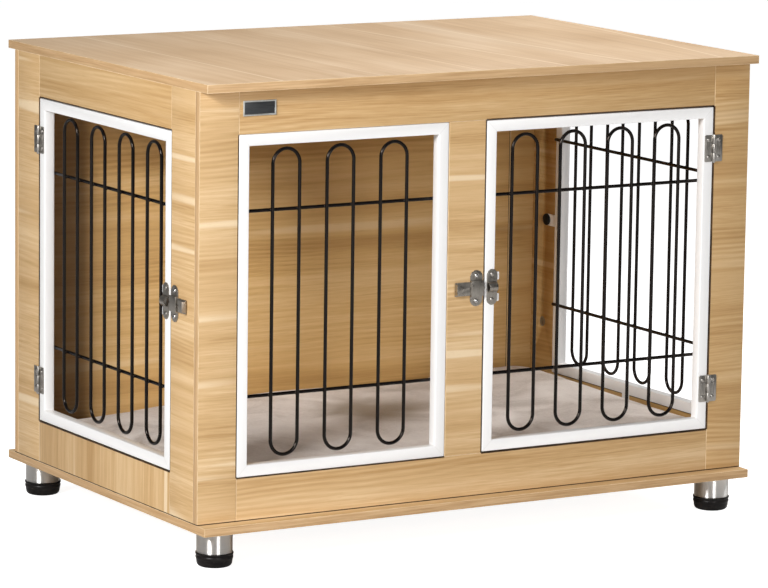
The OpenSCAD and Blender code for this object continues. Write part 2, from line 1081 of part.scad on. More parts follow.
module panel_screws() {
  color(BLACK) {
    front_tab_points()
      knob_screw();
    right_tab_points()
      knob_screw();
  }
}

module front_door_frame() {
  difference() {
    on_front(door_x, open_z)
      union() {
        panel_frame(door_w - 2 * door_gap, door_h);
        keeper_lugs(door_w - 2 * door_gap);
      }
    front_door_points()
      screw_hole(tube_wall + grip, cut);
  }
}

module front_door_grille() {
  on_front(door_x, open_z)
    panel_grille(door_w - 2 * door_gap, door_h, door_loops, door_end);
}

module left_door_frame() {
  difference() {
    on_left(0, open_z)
      union() {
        panel_frame(side_w - 2 * door_gap, door_h);
        keeper_lugs(side_w - 2 * door_gap);
      }
    left_door_points()
      screw_hole(tube_wall + grip, cut);
  }
}

module left_door_grille() {
  on_left(0, open_z)
    panel_grille(side_w - 2 * door_gap, door_h, side_loops, side_end);
}

// Leaf with its knuckles: side -1 carries the middle knuckle, 1 the outer two.
module hinge_leaf_piece(side) {
  inner = knuckle_r + knuckle_gap;
  spots = side < 0 ? [0] : [-1, 1];
  play = side < 0 ? pin_play : hair;
  difference() {
    union() {
      translate([side < 0 ? -hinge_leaf : inner, -hinge_h / 2, 0])
        cube([hinge_leaf - inner, hinge_h, leaf_t]);
      for (s = spots)
        translate([0, s * (knuckle_h + knuckle_gap), 0]) {
          translate([side < 0 ? -inner - hair : 0, -knuckle_h / 2, 0])
            cube([inner + hair, knuckle_h, leaf_t]);
          translate([0, knuckle_h / 2, knuckle_r])
            rotate([90, 0, 0])
              cylinder(r = knuckle_r, h = knuckle_h);
        }
    }
    translate([0, hinge_h / 2 + cut, knuckle_r])
      rotate([90, 0, 0])
        cylinder(r = pin_d / 2 + play, h = hinge_h + 2 * cut);
    at_leaf_screws(side)
      translate([0, 0, -cut])
        cylinder(d = screw_d + 2 * hole_play, h = leaf_t + 2 * cut);
  }
}

module hinge_pin() {
  translate([0, hinge_h / 2, knuckle_r])
    rotate([90, 0, 0])
      cylinder(d = pin_d, h = hinge_h);
  for (side = [-1, 1])
    translate([0, side * (hinge_h + pin_cap) / 2, knuckle_r])
      rotate([90, 0, 0])
        cylinder(r = knuckle_r * 0.83, h = pin_cap, center = true);
}

module hinge_fixed_leaves() {
  color(STEEL)
    for (z = hinge_zs) {
      on_front(front_hinge_x, z)
        hinge_leaf_piece(1);
      on_left(side_hinge_y, z)
        hinge_leaf_piece(1);
    }
}

module hinge_pins() {
  color(STEEL)
    for (z = hinge_zs) {
      on_front(front_hinge_x, z)
        hinge_pin();
      on_left(side_hinge_y, z)
        hinge_pin();
    }
}

module hinge_fixed_screws() {
  color(STEEL) {
    front_stile_points()
      small_screw(screw_l, leaf_t);
    left_stile_points()
      small_screw(screw_l, leaf_t);
  }
}

module front_door_leaves() {
  color(STEEL)
    for (z = hinge_zs)
      on_front(front_hinge_x, z)
        hinge_leaf_piece(-1);
}

module left_door_leaves() {
  color(STEEL)
    for (z = hinge_zs)
      on_left(side_hinge_y, z)
        hinge_leaf_piece(-1);
}

// The leaves and the keeper are equally thick, so all door screws are alike.
module front_door_screws() {
  color(STEEL)
    front_door_points()
      small_screw(screw_l, leaf_t);
}

module left_door_screws() {
  color(STEEL)
    left_door_points()
      small_screw(screw_l, leaf_t);
}

module rounded_plate(w, h, t) {
  linear_extrude(t)
    union() {
      square([w, h - w], center = true);
      for (side = [-1, 1])
        translate([0, side * (h - w) / 2])
          circle(d = w);
    }
}

// Plate and bridge on the stile; a pressed pin in the bridge stops the bolt.
module latch_body_piece() {
  difference() {
    union() {
      translate([body_u, 0, 0])
        rounded_plate(body_w, plate_h, plate_t);
      translate([body_u - body_w / 2, -bridge_v - plate_t, 0])
        cube([body_w, 2 * (bridge_v + plate_t), bridge_w + plate_t]);
    }
    translate([body_u - body_w / 2 - cut, -bridge_v, plate_t])
      cube([body_w + 2 * cut, 2 * bridge_v, bridge_w - plate_t]);
    at_plate_screws(body_u)
      translate([0, 0, -cut])
        cylinder(d = screw_d + 2 * hole_play, h = plate_t + 2 * cut);
  }
  translate([-guide_u, 0, plate_t - hair])
    cylinder(r = guide_r, h = bridge_w - plate_t + 2 * hair, $fn = 24);
}

// Flat bolt with a thumb tab, a stop pip, a guide slot and a narrow tongue.
module latch_bolt_piece() {
  tip = -tongue_off;
  shoulder = tip - tongue_l;
  tail = tip - bolt_l;
  slot_r = guide_r + slide_play;
  translate([0, 0, slide_w0])
    difference() {
      union() {
        translate([tail, -bolt_h / 2, 0])
          cube([shoulder - tail, bolt_h, bolt_t]);
        translate([shoulder - hair, -tongue_h / 2, 0])
          cube([tongue_l - tongue_h / 4 + hair, tongue_h, bolt_t]);
        translate([tip - tongue_h / 4, 0, 0])
          intersection() {
            cylinder(d = tongue_h / 2, h = bolt_t);
            translate([0, -tongue_h / 4, 0])
              cube([tongue_h / 4, tongue_h / 2, bolt_t]);
          }
        translate([tail, -bolt_h * 0.4, bolt_t - hair])
          cube([bolt_t, bolt_h * 0.8, thumb_h + hair]);
        translate([tail, -bolt_h * 0.25, bolt_t + thumb_h - lip_t])
          cube([bolt_t + lip_l, bolt_h * 0.5, lip_t]);
        translate([-body_off - body_w - bolt_travel - pip_d / 2 - slide_play, 0, bolt_t - hair])
          cylinder(d = pip_d, h = pip_h + hair, $fn = 24);
      }
      translate([-guide_u - bolt_travel, 0, -cut])
        cylinder(r = slot_r, h = bolt_t + 2 * cut, $fn = 24);
      translate([-guide_u, 0, -cut])
        cylinder(r = slot_r, h = bolt_t + 2 * cut, $fn = 24);
      translate([-guide_u - bolt_travel, -slot_r, -cut])
        cube([bolt_travel, 2 * slot_r, bolt_t + 2 * cut]);
    }
}

// Plate on the door with a pressed half-round arch for the tongue.
module latch_keeper_piece() {
  difference() {
    union() {
      translate([keeper_u, 0, 0])
        rounded_plate(keeper_w, plate_h, plate_t);
      intersection() {
        translate([keeper_off + arch_in, 0, 0])
          rotate([0, 90, 0])
            cylinder(r = arch_r + plate_t, h = keeper_w - 2 * arch_in);
        translate([keeper_off, -arch_r - plate_t, 0])
          cube([keeper_w, 2 * (arch_r + plate_t), arch_r + plate_t]);
      }
    }
    intersection() {
      translate([keeper_off - cut, 0, 0])
        rotate([0, 90, 0])
          cylinder(r = arch_r, h = keeper_w + 2 * cut);
      translate([keeper_off - cut, -arch_r, plate_t])
        cube([keeper_w + 2 * cut, 2 * arch_r, arch_r]);
    }
    at_plate_screws(keeper_u)
      translate([0, 0, -cut])
        cylinder(d = screw_d + 2 * hole_play, h = plate_t + 2 * cut);
  }
}

module front_latch_body() {
  color(STEEL)
    on_front(front_latch_x, latch_z)
      latch_body_piece();
}

module left_latch_body() {
  color(STEEL)
    on_left(side_latch_y, latch_z)
      latch_body_piece();
}

module latch_screws() {
  color(STEEL) {
    front_body_points()
      small_screw(screw_l, plate_t);
    left_body_points()
      small_screw(screw_l, plate_t);
  }
}

module front_latch_bolt() {
  color(STEEL)
    on_front(front_latch_x, latch_z)
      latch_bolt_piece();
}

module left_latch_bolt() {
  color(STEEL)
    on_left(side_latch_y, latch_z)
      latch_bolt_piece();
}

module front_latch_keeper() {
  color(STEEL)
    on_front(front_latch_x, latch_z)
      latch_keeper_piece();
}

module left_latch_keeper() {
  color(STEEL)
    on_left(side_latch_y, latch_z)
      latch_keeper_piece();
}

// Stepped plate: a foot on the stile's inner face and a tongue behind the door.
module door_stop_piece() {
  edge = -door_gap / 2;
  back = tube + stop_play;
  translate([0, -stop_w / 2, 0])
    difference() {
      union() {
        translate([edge - stop_foot, 0, -board_t - stop_t])
          cube([stop_foot, stop_w, stop_t]);
        translate([edge - stop_t, 0, -back - stop_t])
          cube([stop_t, stop_w, back + stop_t - board_t]);
        translate([edge - stop_t, 0, -back - stop_t])
          cube([stop_t + stop_reach, stop_w, stop_t]);
      }
      translate([edge - stop_foot / 2, stop_w / 2, -board_t - stop_t - cut])
        cylinder(d = screw_d + 2 * hole_play, h = stop_t + 2 * cut);
    }
}

module door_stops() {
  color(STEEL)
    for (z = stop_zs) {
      on_front(front_latch_x, z)
        door_stop_piece();
      on_left(side_latch_y, z)
        door_stop_piece();
    }
}

module stop_screws() {
  color(STEEL) {
    front_stop_points()
      small_screw(screw_l, stop_t);
    left_stop_points()
      small_screw(screw_l, stop_t);
  }
}

module on_nameplate() {
  on_front(-front_x + name_off + name_w / 2, open_z1 + name_rise)
    children();
}

module nameplate_rim() {
  color(STEEL)
    on_nameplate()
      difference() {
        translate([-name_w / 2, -name_h / 2, 0])
          cube([name_w, name_h, name_t]);
        translate([name_rim - name_w / 2, name_rim - name_h / 2, name_t / 2])
          cube([name_w - 2 * name_rim, name_h - 2 * name_rim, name_t]);
      }
}

module nameplate_insert() {
  color([0.16, 0.17, 0.18])
    on_nameplate()
      translate([name_rim - name_w / 2 + hole_play, name_rim - name_h / 2 + hole_play, name_t / 2])
        cube([name_w - 2 * (name_rim + hole_play), name_h - 2 * (name_rim + hole_play), name_t / 4]);
}

// Rows from the underside to the crown: inset from the outline, then height.
pad_rows = [
  [26, 0], [7, 3], [1.5, pad_edge * 0.22], [0, pad_edge * 0.5], [3, pad_edge * 0.76],
  [11, pad_edge * 0.94], [26, pad_edge], [60, pad_edge + (pad_h - pad_edge) * 0.5],
  [110, pad_edge + (pad_h - pad_edge) * 0.82], [175, pad_edge + (pad_h - pad_edge) * 0.96]
];

function corner_point(k, a, hx, hy) = [
  (k == 0 || k == 3 ? 1 : -1) * (hx - pad_corner) + pad_corner * cos(a),
  (k < 2 ? 1 : -1) * (hy - pad_corner) + pad_corner * sin(a)
];
// Outline of four round corners, each followed by the points of the next side.
function outline(hx, hy) = [
  for (k = [0:3])
    let (from = corner_point(k, 90 * (k + 1), hx, hy), to = corner_point((k + 1) % 4, 90 * (k + 1), hx, hy))
    each concat(
      [for (j = [0:pad_arc]) corner_point(k, 90 * (k + j / pad_arc), hx, hy)],
      [for (i = [1:pad_side]) from + (to - from) * i / (pad_side + 1)]
    )
];
function drawn_in(p, hx, hy) = [
  p.x - sign(p.x) * pad_waist * (1 - pow(p.y / hy, 2)) * pow(abs(p.x / hx), 6),
  p.y - sign(p.y) * pad_waist * (1 - pow(p.x / hx, 2)) * pow(abs(p.y / hy), 6)
];
function pad_row(row) =
  let (hx = pad_x - row[0], hy = pad_y - row[0])
  [for (p = outline(hx, hy)) concat(drawn_in(p, hx, hy), pad_z + row[1])];

module cushion() {
  rows = len(pad_rows);
  points = concat(
    [[0, 0, pad_z]],
    [for (row = pad_rows) each pad_row(row)],
    [[0, 0, pad_z + pad_h]]
  );
  last = len(points) - 1;
  sides = [
    for (r = [0:rows - 2], i = [0:pad_n - 1])
      let (j = (i + 1) % pad_n, a = 1 + r * pad_n, b = a + pad_n)
      each [[a + i, b + i, b + j], [a + i, b + j, a + j]]
  ];
  floor_fan = [for (i = [0:pad_n - 1]) [0, 1 + i, 1 + (i + 1) % pad_n]];
  crown_fan = [
    for (i = [0:pad_n - 1])
      let (a = 1 + (rows - 1) * pad_n)
      [last, a + (i + 1) % pad_n, a + i]
  ];
  color([0.76, 0.72, 0.67])
    polyhedron(points = points, faces = concat(sides, floor_fan, crown_fan));
}

top_board();
bottom_board();
back_panel();
front_left_stile();
front_centre_stile();
front_right_stile();
front_top_rail();
front_bottom_rail();
left_front_stile();
left_back_stile();
left_top_rail();
left_bottom_rail();
right_front_stile();
right_back_stile();
right_top_rail();
right_bottom_rail();
dowels();
cam_locks();
cam_bolts();
base_screws();
leg_tubes();
leg_screws();
leg_plugs();
foot_front_left();
foot_front_right();
foot_back_left();
foot_back_right();
front_panel_frame();
front_panel_grille();
right_panel_frame();
right_panel_grille();
panel_tabs();
panel_screws();
front_door_frame();
front_door_grille();
left_door_frame();
left_door_grille();
hinge_fixed_leaves();
hinge_pins();
hinge_fixed_screws();
front_door_leaves();
left_door_leaves();
front_door_screws();
left_door_screws();
front_latch_body();
left_latch_body();
latch_screws();
front_latch_bolt();
left_latch_bolt();
front_latch_keeper();
left_latch_keeper();
door_stops();
stop_screws();
nameplate_rim();
nameplate_insert();
cushion();
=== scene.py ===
import bpy
import bmesh
import json
import math
from mathutils import Matrix, Vector

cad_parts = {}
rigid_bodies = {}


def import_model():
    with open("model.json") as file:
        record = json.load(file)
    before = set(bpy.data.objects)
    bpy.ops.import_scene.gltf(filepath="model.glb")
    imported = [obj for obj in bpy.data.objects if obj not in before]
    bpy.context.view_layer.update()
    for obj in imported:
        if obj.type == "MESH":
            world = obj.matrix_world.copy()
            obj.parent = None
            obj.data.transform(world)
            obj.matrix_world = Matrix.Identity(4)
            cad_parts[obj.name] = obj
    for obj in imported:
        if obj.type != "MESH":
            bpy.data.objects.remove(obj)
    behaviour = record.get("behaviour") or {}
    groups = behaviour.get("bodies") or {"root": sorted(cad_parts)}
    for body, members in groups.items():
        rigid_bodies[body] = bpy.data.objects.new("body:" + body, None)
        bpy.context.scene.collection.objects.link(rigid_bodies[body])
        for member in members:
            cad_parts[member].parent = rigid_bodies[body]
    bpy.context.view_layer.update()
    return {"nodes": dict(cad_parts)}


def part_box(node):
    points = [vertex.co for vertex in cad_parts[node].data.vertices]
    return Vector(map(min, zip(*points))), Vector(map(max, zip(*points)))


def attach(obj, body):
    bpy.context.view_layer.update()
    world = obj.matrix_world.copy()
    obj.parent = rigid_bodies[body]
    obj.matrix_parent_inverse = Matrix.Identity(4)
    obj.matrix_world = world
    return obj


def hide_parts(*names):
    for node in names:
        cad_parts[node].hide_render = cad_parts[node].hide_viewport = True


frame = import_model()
nodes = frame["nodes"]
mm = 0.001


# Shader and geometry trees are written as expressions on wires between nodes.
class Wire:
    def __init__(self, graph, socket):
        self.graph, self.socket = graph, socket

    def calc(self, operation, a, b=0.0):
        return self.graph.node("ShaderNodeMath", {"operation": operation}, {0: a, 1: b})

    def out(self, name):
        found = [s for s in self.socket.node.outputs if s.name == name and s.enabled]
        return Wire(self.graph, found[0])

    def __add__(self, other): return self.calc("ADD", self, other)
    def __radd__(self, other): return self.calc("ADD", other, self)
    def __sub__(self, other): return self.calc("SUBTRACT", self, other)
    def __rsub__(self, other): return self.calc("SUBTRACT", other, self)
    def __mul__(self, other): return self.calc("MULTIPLY", self, other)
    def __rmul__(self, other): return self.calc("MULTIPLY", other, self)
    def __neg__(self): return self.calc("MULTIPLY", self, -1.0)


class Graph:
    def __init__(self, tree):
        self.tree = tree
        tree.nodes.clear()

    def node(self, kind, settings=None, values=None, out=None):
        made = self.tree.nodes.new(kind)
        for key, value in (settings or {}).items():
            if key == "stops":
                self.setStops(made.color_ramp, value)
            else:
                setattr(made, key, value)
        for key, value in (values or {}).items():
            if isinstance(key, int):
                socket = made.inputs[key]
            else:
                socket = [s for s in made.inputs if s.name == key and s.enabled][0]
            for item in (value if isinstance(value, list) else [value]):
                if isinstance(item, Wire):
                    self.tree.links.new(item.socket, socket)
                else:
                    socket.default_value = (*item, 1.0) if socket.type == "RGBA" else item
        shown = [s for s in made.outputs if s.enabled and (out is None or s.name == out)]
        return Wire(self, shown[0]) if shown else made

    def setStops(self, ramp, stops):
        while len(ramp.elements) > 1:
            ramp.elements.remove(ramp.elements[-1])
        for i, (place, colour) in enumerate(stops):
            stop = ramp.elements[0] if i == 0 else ramp.elements.new(place)
            stop.position, stop.color = place, (*colour, 1.0)


class Finish(Graph):
    def __init__(self, name):
        self.material = bpy.data.materials.new(name)
        self.material.use_nodes = True
        super().__init__(self.material.node_tree)

    def place(self):
        return self.node("ShaderNodeTexCoord", out="Object")

    def mapUv(self, name):
        return self.node("ShaderNodeUVMap", {"uv_map": name})

    def stretched(self, vector, scale, shift=(0, 0, 0)):
        return self.node("ShaderNodeMapping", {}, {"Vector": vector, "Scale": scale, "Location": shift})

    def noise(self, vector, scale=1.0, detail=2.0, rough=0.5, twist=0.0):
        return self.node("ShaderNodeTexNoise", {}, {"Vector": vector, "Scale": scale, "Detail": detail,
                                                   "Roughness": rough, "Distortion": twist})

    # Noise drawn out along the first axis of a map that lies in the surface.
    def drawn(self, vector, along, across, detail=2.0, rough=0.5, shift=(0.0, 0.0)):
        return self.noise(self.stretched(vector, (along, across, 1.0), (*shift, 0.0)), 1.0, detail, rough)

    def soft(self, value, low, high, toLow=0.0, toHigh=1.0):
        return self.node("ShaderNodeMapRange", {"interpolation_type": "SMOOTHSTEP"},
                         {"Value": value, "From Min": low, "From Max": high,
                          "To Min": toLow, "To Max": toHigh})

    def ramp(self, value, stops):
        return self.node("ShaderNodeValToRGB", {"stops": stops}, {"Fac": value}, "Color")

    def mix(self, amount, a, b):
        return self.node("ShaderNodeMix", {"data_type": "RGBA"}, {"Factor": amount, "A": a, "B": b})

    def bump(self, height, distance, strength=1.0):
        return self.node("ShaderNodeBump", {}, {"Height": height, "Distance": distance, "Strength": strength})

    def surface(self, **sockets):
        names = {key.replace("_", " "): value for key, value in sockets.items()}
        shader = self.node("ShaderNodeBsdfPrincipled", {}, names)
        self.node("ShaderNodeOutputMaterial", {}, {"Surface": shader})
        return self.material


# Camera at the photograph's place, worked out from the corners of the boards.
print("camera")
cameraSetup = {"place": (-3.2438, -5.5202, 1.3679), "yaw": 0.532540, "pitch": -0.164016,
               "roll": 0.0137278, "lens": 208.22}


def makeCamera(c):
    data = bpy.data.cameras.new("photoView")
    data.sensor_width, data.lens = 36.0, c["lens"]
    data.clip_start, data.clip_end = 0.1, 100.0
    ahead = Vector((math.sin(c["yaw"]) * math.cos(c["pitch"]),
                    math.cos(c["yaw"]) * math.cos(c["pitch"]), math.sin(c["pitch"])))
    right = Vector((math.cos(c["yaw"]), -math.sin(c["yaw"]), 0.0))
    up = right.cross(ahead)
    side = right * math.cos(c["roll"]) + up * math.sin(c["roll"])
    top = up * math.cos(c["roll"]) - right * math.sin(c["roll"])
    turn = Matrix((side, top, -ahead)).transposed().to_4x4()
    camera = bpy.data.objects.new("photoView", data)
    camera.matrix_world = Matrix.Translation(c["place"]) @ turn
    bpy.context.scene.collection.objects.link(camera)
    bpy.context.scene.camera = camera


makeCamera(cameraSetup)


print("finishes")
oakShared = {"spread": 0.12, "mixing": (0.20, 0.23, 0.20, 0.37), "cloudShape": (0.9, 24.0),
             "seams": 0.0, "gloss": 0.50}
oakLooks = {
    "front": {**oakShared, "light": (0.765, 0.550, 0.312), "mid": (0.640, 0.420, 0.206),
              "dark": (0.49, 0.292, 0.118), "pale": (0.88, 0.700, 0.470),
              "figure": 0.07, "lines": 0.18, "gleam": 0.75, "gleamShape": (1.5, 32.0, 0.62, 0.70)},
    # Rail look: a darker, more saturated print; on the front right stile it is painted shade for the dimmer
    # light at that end.
    "rail": {**oakShared, "light": (0.68, 0.468, 0.246), "mid": (0.560, 0.350, 0.154),
             "dark": (0.42, 0.236, 0.088), "pale": (0.80, 0.600, 0.370),
             "figure": 0.11, "lines": 0.16, "gleam": 0.35, "gleamShape": (2.0, 40.0, 0.63, 0.73)},
    # Top look: paler and pinker than the sides, partly the top's own print and partly painted sheen.
    "top": {**oakShared, "light": (0.80, 0.595, 0.400), "mid": (0.705, 0.495, 0.305),
            "dark": (0.60, 0.400, 0.230), "pale": (0.90, 0.720, 0.530),
            "spread": 0.15, "mixing": (0.14, 0.10, 0.26, 0.50), "cloudShape": (3.5, 7.0),
            "figure": 0.02, "lines": 0.10, "gleam": 0.35, "gleamShape": (0.8, 12.0, 0.60, 0.72),
            "seams": 0.75, "gloss": 0.46},
    # Inner look: a darker, more saturated copy of the oak print, painted shade and bounce light of the
    # inside.
    "inner": {**oakShared, "light": (0.755, 0.510, 0.240), "mid": (0.630, 0.386, 0.146),
              "dark": (0.455, 0.252, 0.080), "pale": (0.84, 0.630, 0.350),
              "mixing": (0.15, 0.20, 0.18, 0.47), "cloudShape": (0.8, 20.0),
              "figure": 0.06, "lines": 0.20, "gleam": 0.6, "gleamShape": (1.0, 26.0, 0.63, 0.70),
              # painted shade: the far ends of the inner walls darken towards the shade tone
              "corners": (0.66, 0.15), "cornerShadeTone": (0.10, 0.05, 0.015),
              "leftShadeSpan": (-0.350, -0.322), "rightShadeSpan": (0.372, 0.425),
              "innerFace": (0.2745, 0.2765), "gloss": 0.52},
    "edge": {**oakShared, "light": (0.70, 0.475, 0.265), "mid": (0.575, 0.365, 0.185),
             "dark": (0.43, 0.25, 0.11), "pale": (0.76, 0.56, 0.34),
             "spread": 0.15, "mixing": (0.50, 0.30, 0.20, 0.0),
             "figure": 0.0, "lines": 0.2, "gleam": 0.3, "gleamShape": (2.0, 45.0, 0.63, 0.70)}}


# Oak print: u of the grain map runs along the grain and v across it, in metres.
def oakFinish(name, look):
    s = Finish(name)
    grain = s.mapUv("grain")
    sway = s.drawn(grain, 1.7, 5.0) - 0.5
    along = s.node("ShaderNodeSeparateXYZ", {}, {"Vector": grain}, "X")
    across = along.out("Y") + sway * 0.024
    bent = s.node("ShaderNodeCombineXYZ", {}, {"X": along, "Y": across})
    # fine grain, broad bands and the arches of cut growth rings
    streak = s.drawn(bent, 8.0, 300.0, 2.0, 0.55)
    fibre = s.drawn(bent, 20.0, 620.0, 3.0, 0.62)
    band = s.drawn(bent, 2.2, 70.0, shift=(5.0, 3.0))
    cloud = s.drawn(bent, *look["cloudShape"], shift=(2.0, 4.0))
    hills = s.drawn(grain, 2.1, 8.0, 1.5, 0.4, (0.0, 7.0))
    ring = s.node("ShaderNodeMath", {"operation": "SINE"}, {0: across * 800.0 + hills * 46.0}) * 0.5
    patch = s.soft(s.drawn(grain, 1.5, 7.0, shift=(3.0, 1.0)), 0.46, 0.62)
    calm = s.soft(s.drawn(bent, 1.4, 13.0, 1.0, shift=(6.0, 2.0)), 0.38, 0.62, 0.45, 1.1)
    share = look["mixing"]
    fine = (streak - 0.5) * share[0] + (fibre - 0.5) * share[1]
    broad = (band - 0.5) * share[2]
    tone = fine * calm + broad + (cloud - 0.5) * share[3] + ring * patch * look["figure"] + 0.5
    colour = s.ramp(tone, [(0.5 - look["spread"], look["dark"]), (0.5, look["mid"]),
                           (0.5 + look["spread"], look["light"])])
    lines = s.soft(s.drawn(bent, 14.0, 330.0, 1.0, shift=(8.0, 2.0)), 0.60, 0.70)
    colour = s.mix(lines * look["lines"], colour, look["dark"])
    reach = look["gleamShape"]
    gleam = s.soft(s.drawn(bent, reach[0], reach[1], 1.0, shift=(1.0, 9.0)), reach[2], reach[3])
    colour = s.mix(gleam * look["gleam"], colour, look["pale"])
    contour = s.drawn(grain, 0.35, 5.0, 0.0, shift=(4.0, 6.0)) - 0.5
    seam = s.soft(contour.calc("ABSOLUTE", contour), 0.001, 0.006, 1.0, 0.0)
    colour = s.mix(seam * look["seams"], colour, look["pale"])
    # Painted shade: darkens the far ends of the inner walls towards the shade tone, on their inner face only.
    if "corners" in look:  # the far ends of the inner walls lie in shade, the crate's back doesn't
        side = s.node("ShaderNodeSeparateXYZ", {}, {"Vector": s.place()}, "X")
        left = s.soft(side, *look["leftShadeSpan"], look["corners"][0], 0.0)
        right = s.soft(side, *look["rightShadeSpan"], 0.0, look["corners"][1])
        inside = s.soft(side.out("Y"), *look["innerFace"], 1.0, 0.0)
        colour = s.mix((left + right) * inside, colour, look["cornerShadeTone"])
    pores = s.soft(s.drawn(bent, 48.0, 1250.0, 1.0), 0.66, 0.74)
    colour = s.mix(pores * 0.30, colour, look["dark"])
    gloss = s.soft(streak, 0.3, 0.7, look["gloss"] + 0.05, look["gloss"] - 0.05)
    return s.surface(Base_Color=colour, Roughness=gloss, Specular_IOR_Level=0.28,
                     Normal=s.bump(fibre * 0.6 - pores * 0.7, 0.00012, 0.35))


# A finish where one noise gives the colour, the gloss and the relief (distance and strength).
def plainFinish(name, noise, tones, gloss, relief=None, stretch=None, stops=(0.35, 0.65), **sockets):
    s = Finish(name)
    spot = s.stretched(s.place(), stretch) if stretch else s.place()
    grit = s.noise(spot, *noise)
    colour = s.ramp(grit, list(zip(stops, tones)))
    if relief:
        sockets["Normal"] = s.bump(grit, *relief)
    return s.surface(Base_Color=colour, Roughness=s.soft(grit, 0.3, 0.7, *gloss), **sockets)


def arrisFinish(name, dull, bright):
    return plainFinish(name, noise=(60.0, 3.0), tones=(dull, bright), stops=(0.35, 0.6),
                       gloss=(0.55, 0.45), Specular_IOR_Level=0.3)


# White powder coat. The mitre map holds the distances to the two mitres of each side.
def enamelFinish(name="whiteEnamel", mitred=True):
    s = Finish(name)
    spot = s.place()
    peel = s.noise(spot, 900.0, 2.0, 0.5)
    cloud = s.noise(spot, 7.0, 2.0)
    colour = s.ramp(cloud, [(0.3, (0.935, 0.925, 0.915)), (0.7, (0.955, 0.945, 0.935))])
    height = peel * 0.15
    if mitred:
        ends = s.node("ShaderNodeSeparateXYZ", {}, {"Vector": s.mapUv("mitre")}, "X")
        nearest = ends.calc("MINIMUM", ends.calc("ABSOLUTE", ends),
                            ends.calc("ABSOLUTE", ends.out("Y")))
        seam = s.soft(nearest, 0.0, 0.0008)
        colour = s.mix((1 - seam) * 0.2, colour, (0.55, 0.53, 0.51))
        height = height + seam * 0.3
    return s.surface(Base_Color=colour, Roughness=s.soft(peel, 0.3, 0.7, 0.30, 0.38), Coat_Weight=0.25,
                     Coat_Roughness=0.18, Normal=s.bump(height, 0.00015, 0.6))


def wireFinish():
    s = Finish("blackWire")
    spot = s.place()
    pits = s.noise(spot, 260.0, 2.0)
    haze = s.noise(spot, 35.0, 3.0)
    colour = s.ramp(haze, [(0.3, (0.002, 0.0018, 0.0018)), (0.7, (0.005, 0.004, 0.004))])
    return s.surface(Base_Color=colour, Roughness=s.soft(haze, 0.3, 0.7, 0.11, 0.16), Specular_IOR_Level=0.27,
                     Specular_Tint=(1.0, 0.84, 0.74), Normal=s.bump(pits, 0.00002, 0.15))


# Brushed tube: scratches run round the leg and draw its highlights out upright.
def legFinish():
    s = Finish("brushedLeg")
    spot = s.place()
    rings = s.noise(s.stretched(spot, (12.0, 12.0, 2600.0)), 1.0, 2.0, 0.5)
    cloud = s.noise(spot, 22.0, 2.0)
    colour = s.ramp(rings, [(0.3, (0.90, 0.88, 0.85)), (0.7, (0.97, 0.955, 0.93))])
    return s.surface(Base_Color=colour, Metallic=1.0, Roughness=s.soft(cloud, 0.3, 0.7, 0.38, 0.44),
                     Anisotropic=1.0, Anisotropic_Rotation=0.25, Normal=s.bump(rings, 0.00001, 0.3))


def hardwareFinish(name, dark, light, rough):
    s = Finish(name)
    spot = s.place()
    brush = s.noise(s.stretched(spot, (420.0, 420.0, 90.0)), 1.0, 4.0, 0.6)
    stain = s.noise(spot, 110.0, 3.0, 0.6)
    colour = s.ramp(brush * 0.6 + stain * 0.4, [(0.35, dark), (0.65, light)])
    gloss = s.soft(stain, 0.3, 0.7, rough - 0.05, rough + 0.08)
    return s.surface(Base_Color=colour, Metallic=1.0, Roughness=gloss,
                     Normal=s.bump(brush, 0.00006, 0.35))


def footFinish():
    s = Finish("footPlastic")
    spot = s.place()
    grit = s.noise(spot, 1500.0, 2.0)
    scuff = s.noise(s.stretched(spot, (60.0, 60.0, 260.0)), 1.0, 4.0, 0.65)
    colour = s.ramp(scuff, [(0.35, (0.006, 0.005, 0.005)), (0.7, (0.018, 0.016, 0.015))])
    return s.surface(Base_Color=colour, Roughness=s.soft(scuff, 0.3, 0.7, 0.30, 0.44),
                     Specular_IOR_Level=0.16, Normal=s.bump(grit * 0.5 + scuff, 0.0001, 0.4))


# hollowShade: a painted shadow patch round a spot where the pad dips
plushSetup = {"dark": (0.47, 0.385, 0.315), "mid": (0.70, 0.615, 0.55),
              "light": (0.84, 0.765, 0.70), "hollowShade": (0.31, 0.215, 0.115),
              "hollowShadeAt": (0.018, 0.038, 0.12), "hollowShadeSpan": (0.07, 0.16), "hollowShadeDepth": 0.95}


def plushFinish(c):
    s = Finish("greigePlush")
    spot = s.place()
    pile = s.noise(s.stretched(spot, (1.0, 1.0, 1.6)), 1100.0, 4.0, 0.7)
    tuft = s.noise(spot, 170.0, 4.0, 0.65, 0.6)
    nap = s.noise(spot, 11.0, 2.0, 0.45, 0.8)
    tone = pile * 0.22 + tuft * 0.22 + nap * 0.56
    colour = s.ramp(tone, [(0.36, c["dark"]), (0.5, c["mid"]), (0.64, c["light"])])
    # Painted shade: the pad darkens round a spot where it dips.
    apart = s.node("ShaderNodeVectorMath", {"operation": "DISTANCE"}, {0: spot, 1: c["hollowShadeAt"]}, "Value")
    hollowShade = s.soft(apart + nap * 0.08, *c["hollowShadeSpan"], c["hollowShadeDepth"], 0.0)
    colour = s.mix(hollowShade, colour, c["hollowShade"])
    return s.surface(Base_Color=colour, Roughness=s.soft(tuft, 0.3, 0.7, 0.88, 1.0), Sheen_Weight=0.35,
                     Sheen_Roughness=0.5, Specular_IOR_Level=0.15,
                     Normal=s.bump(pile * 0.5 + tuft, 0.0016, 0.7))


